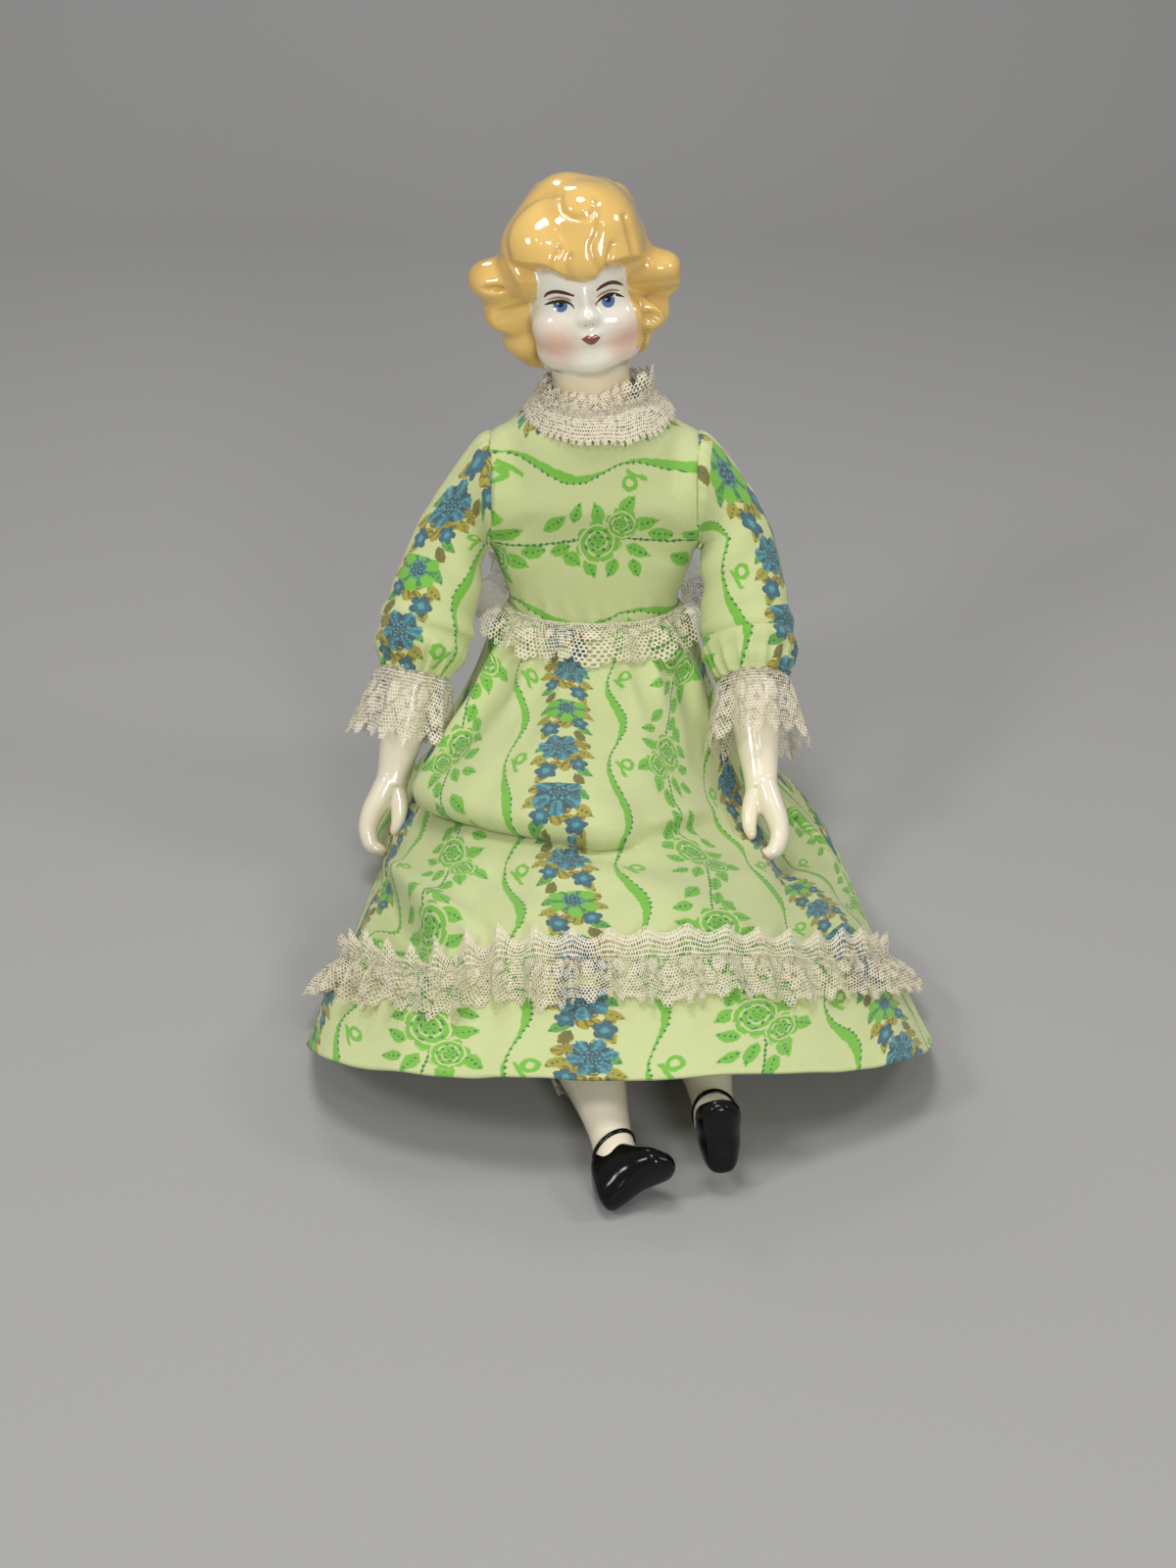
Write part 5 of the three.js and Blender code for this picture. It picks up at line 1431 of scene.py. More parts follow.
def strap_form(world):
    """A shoe's strap, a flat band round the ankle."""
    steps, corners = 60, 8
    turns, section = full_turn(steps)[:, None], full_turn(corners)
    thick = 0.45 * np.cos(section)
    x = (6.5 + thick) * np.cos(turns)
    y = 0.2 + (6.6 + thick) * np.sin(turns)
    t = 81.6 + 2.6 * np.sin(turns) - 0.8 * np.sin(section)
    faces = grid_faces(steps + 1, corners, True) % (steps * corners)
    return world(x, y, t).reshape(-1, 3), faces.tolist()


def build_legs(looks, skin):
    """Glazed lower legs with black moulded shoes."""
    black = shoe_black(looks)
    t = np.linspace(2.4, 92, 90)[:, None]
    radii, shift = keyed_rows(SHIN, t[:, 0]).T[..., None]
    turns = full_turn(44)
    calf = 1 + 0.06 * np.sin(turns) * bell(t, 28, 16)
    for side in SIDES:
        world = leg_frame(side)
        rings = world(np.cos(turns) * radii * calf, np.sin(turns) * radii * calf + shift, t)
        leg = solid_piece(f"{side}_china_leg", closed_tube(rings), skin)
        note(leg, "tip", np.zeros(len(leg.data.vertices)))
        place(leg, f"{side}_shin", "glazed_porcelain", f"{side}_lower_leg")
        shoe = solid_piece(f"{side}_painted_shoe", joined([shoe_form(world), strap_form(world)]), black)
        place(shoe, f"{side}_shin", "glazed_porcelain")


def leg_line(side, count):
    """Centres and directions from the hip seam to below the knee."""
    hip, knee = np.array(HIP_SEAM[side], float), np.array(KNEE[side], float)
    aim = unit(np.array(SHIN_AIM[side]))
    mid = (hip + knee) / 2 + np.array([0, 0, 1.5])
    at = np.linspace(0, 2, count)
    centres = smooth_rows([hip, mid, knee, knee + 30 * aim], at)
    return centres, unit(np.gradient(centres, axis=0)), at / 2


def drawers_grid(side, centres, aims, wide, high, turns):
    """Rings of a drawers leg, over the thigh and down the shin, in soft folds that rest on the table."""
    across = np.array([1.0, 0, 0])
    upper = rings_on(centres, aims, wide + DRAWERS_EASE, high + DRAWERS_EASE, turns, across)
    aim = unit(np.array(SHIN_AIM[side]))
    t = np.linspace(4, DRAWERS_END_T, 30)
    line = np.array(KNEE[side], float) + t[:, None] * aim
    radii = keyed_rows(DRAWERS_SHIN, t)[:, 0]
    lower = rings_on(line, np.repeat(aim[None], len(t), 0), radii, radii, turns, across)
    grid = np.concatenate([upper, lower])
    folds = 0.35 * np.cos(9 * turns) + 0.2 * np.cos(14 * turns + 1)
    strong = ramp(np.arange(len(grid)), 8, 40)[:, None]
    grid = grid + unit(grid - grid.mean(1, keepdims=True)) * (folds * strong)[..., None]
    grid[..., 2] = np.maximum(grid[..., 2], 0.9)
    return grid


def build_thighs(looks, muslin):
    """Stuffed thighs, and white drawers over them."""
    lawn = plain_cloth("white_lawn", looks.lawn, looks.lawn_shade, 0.0005)
    turns = full_turn(72)
    covered = slice(12, -1)
    for side in SIDES:
        centres, aims, share = leg_line(side, 48)
        wide, high = keyed_rows(THIGH, share * 0.88).T
        rings = rings_on(centres, aims, wide - 0.4, high - 0.4, full_turn(36), np.array([1.0, 0, 0]))
        thigh = solid_piece(f"{side}_stuffed_thigh", closed_tube(rings), muslin)
        place(thigh, "lap", "muslin", f"{side}_thigh", f"{side}_thigh_stuffing")
        grid = drawers_grid(side, centres[covered], aims[covered], wide[covered], high[covered], turns)
        faces = grid_faces(len(grid), len(turns), True)
        leg = make_piece(f"{side}_drawers_cloth", grid, faces, lawn)
        thicken(leg, 0.5)
        place(leg, "lap", "white_lawn", f"{side}_drawers_leg")


# Skirt


def skirt_base(s, turn):
    """The plain skirt between its rings: turn 0 is the doll's left edge, a quarter turn the lap."""
    rows = np.moveaxis(smooth_rows(SKIRT, np.asarray(s) * (len(SKIRT) - 1)), -1, 0)
    top_y, top_z, side_y, side_z, low_y, low_z, right, left, round_r, round_l, folds = rows
    up = np.sin(turn)
    over = up >= 0
    toward_left = ramp(np.cos(turn), -0.15, 0.15)
    roundness = round_r + (round_l - round_r) * toward_left
    reach = right + (left - right) * toward_left
    under = 0.87 + (0.45 - 0.87) * np.minimum(s * 2.2, 1)
    share = np.maximum(np.abs(up), 1e-9) ** np.where(over, roundness, under)
    across = squared(np.cos(turn), WAIST_SQUARE + (2 - WAIST_SQUARE) * np.minimum(s * 5, 1))
    ripple = 0.6 * folds * np.cos(SKIRT_FOLDS * turn + 1.3 * np.sin(3 * turn))
    fold = ripple * np.where(over, 1, np.maximum(1 - 2.5 * s, 0))
    y = side_y + (np.where(over, top_y, low_y) - side_y) * share - 0.5 * fold * up
    z = side_z + (np.where(over, top_z, low_z) - side_z) * share + np.where(over, fold, 0)
    return np.stack([(reach + 0.4 * fold) * across, y, z], -1)


def skirt_normal(s, turn):
    """The plain skirt's direction outwards."""
    step = 0.004
    ds = skirt_base(np.minimum(s + step, 1), turn) - skirt_base(np.maximum(s - step, 0), turn)
    dt = skirt_base(s, turn + step) - skirt_base(s, turn - step)
    return unit(np.cross(dt, ds))


# Where the lap's deep crease runs: turns in degrees, and the share of the way down
CREASE = ([72, 82, 91, 102, 115, 129, 145, 152],
          [0.552, 0.542, 0.53, 0.512, 0.487, 0.466, 0.428, 0.415])
# Ridges on the lap: from and to as (s, degrees), height, half width in mm
RIDGES = [
    ((0.06, 150), (0.42, 143), 6.0, 7.0), ((0.08, 165), (0.45, 156), -6.0, 6.5),
    ((0.61, 160), (0.79, 113), 6.0, 5.5), ((0.66, 166), (0.83, 126), -7.5, 6.5),
    ((0.12, 30), (0.40, 38), 4.5, 6.0), ((0.40, 40), (0.70, 54), 3.4, 6.0),
    ((0.20, 10), (0.42, 26), -4.0, 6.0), ((0.42, 28), (0.70, 43), -3.4, 6.0),
    ((0.30, 6), (0.72, 12), 5.0, 14.0), ((0.30, 181), (0.58, 177), 12.0, 11.0),
    ((0.54, 80), (0.485, 58), -2.8, 5.0), ((0.50, 76), (0.45, 58), 2.2, 6.0),
    ((0.04, 120), (0.26, 126), 2.0, 4.0), ((0.04, 100), (0.22, 106), 1.7, 4.0),
    ((0.04, 78), (0.30, 70), 2.0, 4.5), ((0.04, 60), (0.24, 56), 2.0, 4.0),
    ((0.62, 38), (0.82, 30), 2.4, 8.0), ((0.60, 124), (0.70, 100), -2.4, 7.0),
    ((0.62, 66), (0.80, 84), 2.4, 8.0), ((0.60, 92), (0.74, 72), 1.8, 6.0),
    ((0.12, 92), (0.40, 84), -1.6, 8.0), ((0.10, 130), (0.36, 112), 1.6, 6.0),
]


def skirt_lift(s, turn):
    """How far the cloth stands off the plain skirt, and how far it slips down over a fold."""
    degrees = np.degrees(turn)
    over = ramp(np.sin(turn), -0.05, 0.12)
    edge = np.interp(degrees, *CREASE)
    above = (edge - s) * SKIRT_LENGTH
    strong = ramp(degrees, 75, 91) * (1 - ramp(degrees, 143, 152))
    crest = 8.0 * np.exp(-np.maximum(above - 6, 0) / 30) * ramp(above, 0, 8)
    recess = 4.6 * np.exp(-np.maximum(-above, 0) / 9) * (1 - ramp(above, -1, 3))
    lift = strong * (crest - recess)
    slip = 10.5 * strong * bell(above, 4.0, 4.2)
    for (s0, d0), (s1, d1), height, width in RIDGES:
        start = s0 * SKIRT_LENGTH, np.radians(d0) * SKIRT_GIRTH
        end = s1 * SKIRT_LENGTH, np.radians(d1) * SKIRT_GIRTH
        far, share = segment_distance(s * SKIRT_LENGTH, turn * SKIRT_GIRTH, start, end)
        lift = lift + height * bell(far, 0, width) * np.sin(math.pi * (0.08 + 0.84 * share))
    gather = np.cos(34 * turn + 1.5 * np.sin(7 * turn)) * np.exp(-s / 0.07) * ramp(s, 0.0, 0.02)
    creep = 0.6 * np.sin(23 * s + 3.1 * turn) * np.sin(5.3 * turn + 9 * s) * ramp(s, 0.1, 0.3)
    creep = creep + 0.3 * np.sin(47 * s - 11 * turn + 2 * np.sin(5 * turn)) * np.sin(17 * turn + 19 * s)
    return (lift + gather + creep) * over, slip * over


def skirt_cloth(s, turn, off=0.0):
    """The dressed skirt's outside, moved outwards by a distance."""
    lift, slip = skirt_lift(s, turn)
    moved = np.clip(s + slip / SKIRT_LENGTH, 0, 1)
    shape = skirt_base(moved, turn) + skirt_normal(moved, turn) * (lift + off)[..., None]
    shape[..., 2] = np.maximum(shape[..., 2], 1.1 + off * 0.3)
    return shape


def skirt_print(s, turn):
    """Cloth coordinates of the skirt, with stripes that run down from the waist."""
    down_rows, cols = s[:, 0], s.shape[1]
    lap = skirt_base(s, turn)
    ring = np.concatenate([lap, lap[:, :1]], 1)
    steps = np.linalg.norm(np.diff(ring, axis=1), axis=2)
    arc = np.concatenate([np.zeros((len(s), 1)), np.cumsum(steps, 1)], 1)
    fullness = (1.22 - 0.3 * down_rows)[:, None]
    drift = 11.5 - 9.0 * ramp(down_rows, 0.5, 0.95)[:, None]
    across = -(arc - arc[:, cols // 2][:, None]) * fullness + drift
    back = ramp(-np.sin(np.append(turn[0], turn[0, 0])), -0.05, 0.5)
    level = int(np.argmin(np.abs(down_rows - 0.5)))
    across = across * (1 - back) + across[level] * back
    down = np.linalg.norm(np.diff(lap, axis=0), axis=2)
    along = np.concatenate([np.zeros((1, cols)), np.cumsum(down, 0)])
    moved = np.clip(s + skirt_lift(s, turn)[1] / SKIRT_LENGTH, 0, 1)
    along = np.stack([np.interp(moved[:, k], down_rows, along[:, k]) for k in range(cols)], 1)
    return grid_print(across, np.concatenate([along, along[:, :1]], 1) + 8.0)


def build_skirt(cotton):
    """The skirt, gathered at the waist and spread over the lap and legs to its hem."""
    down_rows = np.concatenate([
        np.linspace(0, 0.4, 44, endpoint=False), np.linspace(0.4, 0.58, 62, endpoint=False),
        np.linspace(0.58, 1, 48),
    ])
    cols = 312
    s, turn = np.meshgrid(down_rows, full_turn(cols, -math.pi / 2), indexing="ij")
    faces = grid_faces(len(down_rows), cols, True)
    piece = make_piece("skirt_cloth", skirt_cloth(s, turn), faces, cotton, skirt_print(s, turn))
    thicken(piece, SKIRT_CLOTH)
    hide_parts("skirt")
    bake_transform(piece)


# Lace


# Corners of one mesh of the net
CELL = [(-1, -1), (0, -2), (1, -1), (1, 1), (0, 2), (-1, 1)]


def lace_holes(x, y, depth, seed):
    """How open each mesh of the lace is: net, closer flowers with wide eyes round them, and firm edges."""
    pitch = 19.0
    dx, dy = (x / pitch % 1.0 - 0.5) * pitch, y - depth * 0.56
    far, angle = np.hypot(dx, dy * 1.1), np.arctan2(dy, dx)
    petal = depth * 0.26 * (0.62 + 0.38 * np.abs(np.cos(2.5 * angle)))
    side = np.hypot(np.abs(dx) - pitch / 2, y - depth * 0.42)
    open_share = np.full(x.shape, 0.67)
    for where, share in (
        (np.abs(far - petal) < 0.9, 0.86), (far < petal - 0.6, 0.54), (far < depth * 0.05, 0.85),
        (side < depth * 0.13, 0.5), (np.abs(side - depth * 0.17) < 0.7, 0.85),
        (y < depth * 0.1, 0.5), (y > depth * 0.86, 0.55),
    ):
        open_share[where] = share
    jitter = np.random.default_rng(seed).uniform(-0.12, 0.12, x.shape)
    return np.clip(open_share + jitter, 0.2, 0.9)


def lace_piece(name, surface, length, depth, cell, thread, closed, seed, dense=0.0, scallop=9.0, rough=0.05,
               fringe=0.5):
    """A strip of lace as a net of threads with real holes, laid on a surface by its length and depth."""
    cols = max(int(round(length / cell)), 6)
    rows = max(int(round(depth / (cell * 0.87))), 3)
    j, i = np.meshgrid(np.arange(rows), np.arange(cols), indexing="ij")
    middle = np.stack([2 * i + 1 + j % 2, 3 * j + 2], -1).reshape(-1, 2)
    x, y = middle[:, 0] / 2 * cell, middle[:, 1] / 3 * (depth / rows)
    edge = depth * (1 - 0.13 * (1 - np.abs(np.sin(math.pi * x / scallop))))
    keep = (y < edge) & (closed | (middle[:, 0] < 2 * cols - 1))
    middle, x, y, edge = middle[keep], x[keep], y[keep], edge[keep]
    holes = lace_holes(x, y, depth, seed) * (1 - dense)
    rng = np.random.default_rng(seed + 1)
    keys = middle[:, None] + np.array(CELL)
    if closed:
        keys[..., 0] %= 2 * cols
    knots, index = np.unique(keys.reshape(-1, 2), axis=0, return_inverse=True)
    shaken = knots + rng.uniform(-0.24, 0.24, knots.shape)
    centre = middle[:, None].astype(float)
    inner = centre + np.array(CELL) * holes[:, None, None]
    inner = inner + rng.uniform(-0.07, 0.07, inner.shape)
    outer_ids = index.reshape(-1, 6)
    inner_ids = len(knots) + np.arange(outer_ids.size).reshape(-1, 6)
    corners = [outer_ids, np.roll(outer_ids, -1, 1), np.roll(inner_ids, -1, 1), inner_ids]
    faces = np.stack(corners, -1).reshape(-1, 4)
    last = y > edge - 1.05 * depth / rows
    root = (centre[last] + np.array([[-0.5, 1.5], [0.5, 1.5]])).reshape(-1, 2)
    reach = fringe * 3 / (cell * 0.87) * rng.uniform(0.5, 1.3, len(root))
    tip = root + np.stack([rng.uniform(-0.7, 0.7, len(root)), reach], -1)
    half = np.array([0.17, 0.0])
    spikes = np.stack([root - half, root + half, tip], 1)
    loose = len(knots) + outer_ids.size + np.arange(3 * len(spikes)).reshape(-1, 3)
    places = np.concatenate([shaken, inner.reshape(-1, 2), spikes.reshape(-1, 2)])
    along = places[:, 0] / (2 * cols)
    down = np.clip(places[:, 1] / (3 * rows + 1), 0, 1.3)
    points = surface(along % 1.0 if closed else np.clip(along, 0, 1), down)
    points = points + rng.normal(0, rough, points.shape)
    return make_piece(name, points, faces.tolist() + loose.tolist(), thread)


def strip_wave(along, count, seed):
    """An uneven ruffle: a wave whose folds differ in width and height."""
    rng = np.random.default_rng(seed)
    turn = 2 * math.pi * along
    shift = sum(rng.uniform(0.2, 0.6) * np.sin(k * turn + rng.uniform(0, 6)) for k in (1, 2, 3))
    swell = 1 + 0.3 * np.sin(2 * turn + rng.uniform(0, 6)) + 0.2 * np.sin(5 * turn + rng.uniform(0, 6))
    phase = count * turn + 1.1 * shift
    return swell * np.sin(phase), swell * np.cos(phase)


def waist_surface(along, down):
    """The waist lace: it stands out from the seam, falling at the front and back, rising at the sides."""
    turn = 2 * math.pi * along
    wave, sway = strip_wave(along, 13, 3)
    sideways = np.cos(turn) ** 2
    fall = np.interp(np.sin(turn), [-1, -0.6, 0, 0.45, 0.8, 1], [-8.6, -7.6, 0.5, 3.6, 1, -5])
    out = 3.0 + (15.0 - 2.5 * sideways) * down**0.85 + 1.2 * wave * down
    bow = 2.2 * np.sin(math.pi * np.minimum(down, 1))
    height = 84.8 + fall * down**1.15 + (2.2 + 0.4 * sideways) * wave * down + bow
    slide = 0.07 * sway * down
    x = (WAIST_WIDE + out) * squared(np.cos(turn + slide), WAIST_SQUARE)
    y = (WAIST_DEEP + out) * squared(np.sin(turn + slide), WAIST_SQUARE)
    return np.stack([x, y, height], -1)


def collar_low_surface(along, down):
    """The lower collar tier, lying on the shoulders."""
    turn = 2 * math.pi * along
    wave, _ = strip_wave(along, 11, 5)
    wide = 16.6 + 9.6 * down
    deep = 15.6 + 7.8 * down
    front = ramp(-np.sin(turn), 0.0, 1.0)
    droop = 5.6 * down + (2.6 + 3.2 * front) * down**2.4
    height = 161.7 - droop + 0.4 * wave * down + np.sin(math.pi * np.minimum(down, 1))
    return np.stack([wide * np.cos(turn) + 1.5 * down, 1 + deep * np.sin(turn), height], -1)


def collar_up_surface(along, down):
    """The upper tier: it stands round the neck, a little open, and flares up at the doll's left."""
    turn = 2 * math.pi * along
    wave, sway = strip_wave(along, 9, 8)
    angle = np.degrees(np.arctan2(np.sin(turn + 0.5), np.cos(turn + 0.5)))
    stand = np.exp(-((angle / 34) ** 2))
    front = ramp(-np.sin(turn), -0.2, 0.9)
    bow = np.sin(math.pi * np.minimum(down, 1))
    wide = 19.4 - 4.0 * down + 1.2 * bow + 0.5 * wave * down + 7.2 * stand * down
    deep = 19.0 - 3.6 * down + 1.4 * bow + 0.5 * wave * down
    height = 158.7 + (8.2 - 0.8 * front) * down + 6.2 * stand * down**1.3 + 0.5 * wave * down
    slide = 0.04 * sway * down
    return np.stack([wide * np.cos(turn + slide) - 0.6, 0.5 + deep * np.sin(turn + slide), height], -1)


def build_collar(thread):
    """The two collar tiers."""
    low = lace_piece("collar_low_lace", collar_low_surface, 175, 14, 1.0, thread, True, 11,
                     dense=0.4, scallop=3, rough=0.1, fringe=0.7)
    place(low, "torso", "lace", "collar_lower_tier")
    up = lace_piece("collar_up_lace", collar_up_surface, 150, 11.5, 1.25, thread, True, 12,
                    scallop=5, rough=0.08, fringe=0.6)
    place(up, "torso", "lace", "collar_upper_tier")


def build_waist_lace(thread):
    """The ruffle at the waist."""
    piece = lace_piece("waist_ruffle_lace", waist_surface, 330, 18, 1.45, thread, True, 21)
    place(piece, "torso", "lace", "waist_lace")


def build_cuffs(thread):
    """Flared lace cuffs, gathered into the sleeve ends."""
    start, gathered = CUFF_TOP_T - 4.5, 0.22
    for k, side in enumerate(SIDES):
        world = forearm_frame(side)

        def surface(along, down, seed=31 + k):
            wave, sway = strip_wave(along, 9, seed)
            waist = 1.3 * np.sin(math.pi * np.minimum(down / gathered, 1))
            radius = 12.6 - waist + 5.6 * ramp(down, 0.0, gathered) * down + 1.5 * wave * down
            t = start + (CUFF_END_T - start) * down + 0.7 * wave * down
            turn = 2 * math.pi * along + 0.06 * sway * down
            return world(radius * np.cos(turn), radius * np.sin(turn), t)

        piece = lace_piece(f"{side}_cuff_ruffle", surface, 165, 29, 1.45, thread, True, 33 + k)
        place(piece, f"{side}_hand", "lace", f"{side}_cuff_lace")


def hem_surface(along, down):
    """The flounce above the hem: sewn along a line, with a short heading above it and a full fall below."""
    turn = 0.03 + (math.pi - 0.06) * along
    wave, sway = strip_wave(along * 0.5, 46, 41)
    broad, _ = strip_wave(along * 0.5, 15, 43)
    sewn = 0.27
    above = np.clip((sewn - down) / sewn, 0, 1)
    below = np.clip((down - sewn) / (1 - sewn), 0, 1.4)
    degrees = np.degrees(turn)
    deep = 1 + 0.7 * bell(degrees, 136, 22)
    wave, broad = wave * deep, broad * deep
    line = HEM_LACE_AT + 0.02 * bell(degrees, 129, 14) - 0.008 * bell(degrees, 72, 26)
    s = line - 0.034 * above + 0.08 * below + (0.006 * wave + 0.006 * broad) * below - 0.004 * wave * above
    off = 0.9 + 2.6 * above + 1.3 * wave * above + below**0.7 * 3.0
    off = off + 2.7 * wave * np.minimum(below * 2.2 + 0.12, 1)
    slide = (0.016 * sway + 0.008 * broad) * (below + 0.5 * above)
    return skirt_cloth(s, turn + slide, np.maximum(off, 0.7))


def build_hem_lace(thread):
    """The gathered flounce across the front of the skirt."""
    piece = lace_piece("hem_flounce_lace", hem_surface, 560, 27, 1.5, thread, False, 51)
    place(piece, "lap", "lace", "hem_lace")


def build_drawers_lace(thread):
    """Lace ends of the drawers."""
    for k, side in enumerate(SIDES):
        world = leg_frame(side)

        def surface(along, down, seed=61 + k):
            turn = 2 * math.pi * along
            wave, _ = strip_wave(along, 9, seed)
            radius = 14.2 - 1.9 * down + 0.55 * wave * down
            t = DRAWERS_END_T + 0.4 + DRAWERS_LACE * down
            points = world(radius * np.cos(turn), radius * np.sin(turn), t)
            points[..., 2] = np.maximum(points[..., 2], 0.7)
            return points

        piece = lace_piece(f"{side}_drawers_edging", surface, 110, 9.4, 1.4, thread, True, 63 + k, scallop=6)
        place(piece, "lap", "lace", f"{side}_drawers_lace")


# Stage


# Paper sweep: its near edge, where it bends up, the bend's radius, its top and its half width
SWEEP_NEAR, SWEEP_FAR, SWEEP_BEND, SWEEP_TOP, SWEEP_HALF = -900.0, 700.0, 400.0, 1400.0, 1600.0
# Lamps: name, place and size in metres, power in watts
LAMPS = [
    ("overhead_lamp", (-0.12, -0.2, 1.2), 0.34, 5.4), ("front_lamp", (0.3, -1.15, 0.5), 0.3, 6.0),
    ("left_lamp", (-0.72, -0.62, 0.85), 0.24, 3.8), ("right_lamp", (0.8, -0.1, 0.8), 0.24, 2.2),
    ("back_lamp", (-0.3, 0.75, 0.95), 0.3, 2.6), ("round_lamp_one", (-0.06, -0.66, 0.8), 0.03, 0.3),
    ("round_lamp_two", (0.14, -0.6, 0.84), 0.024, 0.24),
    ("round_lamp_three", (-0.22, -0.6, 0.86), 0.03, 0.24),
]
LAMP_TARGET = Vector((0, -0.05, 0.1))
ROOM_COLOUR = (1.0, 0.99, 0.97, 1.0)
ROOM_LIGHT = 0.36


def build_sweep(looks):
    """A pale floor that runs up into a backdrop."""
    line = [(SWEEP_NEAR, 0.0), (SWEEP_FAR, 0.0)]
    for turn in np.linspace(0.05, math.pi / 2, 24):
        line.append((SWEEP_FAR + SWEEP_BEND * math.sin(turn), SWEEP_BEND - SWEEP_BEND * math.cos(turn)))
    line.append((SWEEP_FAR + SWEEP_BEND, SWEEP_TOP))
    grid = np.array([[(x, y, z) for x in (-SWEEP_HALF, SWEEP_HALF)] for y, z in line])
    paint = Paint("paper_sweep")
    grain = paint.noise(paint.where(), 900.0, 2.0)
    colour = paint.blend(grain, opaque(looks.floor), opaque(looks.floor_shade))
    paper = paint.close(Base_Color=colour, Roughness=0.75, Normal=paint.bump(grain, 0.00008, 0.4))
    floor = make_piece("paper_sweep", grid, grid_faces(len(line), 2, False), paper)


def build_stage(looks):
    """The paper sweep, soft lamps and a pale room."""
    build_sweep(looks)
    for name, at, size, power in LAMPS:
        data = bpy.data.lights.new(name, "AREA")
        data.shape = "DISK"
        data.size = size
        data.energy = power * looks.light
        lamp = bpy.data.objects.new(name, data)
        lamp.location = at
        lamp.rotation_euler = (LAMP_TARGET - Vector(at)).to_track_quat("-Z", "Y").to_euler()
        bpy.context.scene.collection.objects.link(lamp)
    world = bpy.data.worlds.new("soft_room")
    world.use_nodes = True
    glow = world.node_tree.nodes["Background"].inputs
    glow["Color"].default_value = ROOM_COLOUR
    glow["Strength"].default_value = ROOM_LIGHT * looks.light
    bpy.context.scene.world = world
    bpy.context.scene.view_settings.view_transform = "Standard"


def build_camera():
    """The camera at the photograph's place."""
    data = bpy.data.cameras.new("photo_camera")
    data.lens = CAMERA_LENS
    data.sensor_height = CAMERA_SENSOR
    data.sensor_fit = "VERTICAL"
    camera = bpy.data.objects.new("photo_camera", data)
    camera.location = CAMERA_AT
    camera.rotation_euler = (math.radians(CAMERA_TILT), 0, 0)
    bpy.context.scene.collection.objects.link(camera)
    bpy.context.scene.camera = camera


# Settings, operators and panel


def tint(name, description, default):
    """A colour setting."""
    return bpy.props.FloatVectorProperty(name=name, description=description, default=default, subtype="COLOR",
                                         size=3, min=0.0, max=1.0)


def width(name, description, default):
    """A length setting in metres."""
    return bpy.props.FloatProperty(name=name, description=description, default=default, subtype="DISTANCE",
                                   unit="LENGTH", min=0.0001)


class ChinaLooks(bpy.types.PropertyGroup):
    """Colours of the glazed pieces."""

    glaze: tint("Glaze", "White of the face", (0.84, 0.8, 0.69))
    glaze_shade: tint("Glaze shade", "White where the glaze lies thicker", (0.77, 0.73, 0.62))
    neck: tint("Neck", "Creamier white of the neck and limbs", (0.82, 0.67, 0.41))
    limb: tint("Limb", "White of the forearms and legs", (0.84, 0.79, 0.66))
    blush: tint("Blush", "Pink of the cheeks", (0.72, 0.29, 0.18))
    hair: tint("Hair", "Blond of the moulded hair", (0.73, 0.46, 0.125))
    hair_light: tint("Light hair", "Blond where it is thin", (0.84, 0.6, 0.22))
    # The hair shade is painted shade, laid in the hair's creases, grooves and whorls.
    hair_shade: tint("Hair shade", "Blond where it gathers in the creases", (0.46, 0.23, 0.05))
    fingertip: tint("Finger end", "Tan left at the finger ends", (0.55, 0.26, 0.1))
    shoe: tint("Shoe", "Black of the shoes", (0.0015, 0.0015, 0.002))
    shoe_worn: tint("Worn shoe", "Black where it is thin", (0.006, 0.0055, 0.0055))


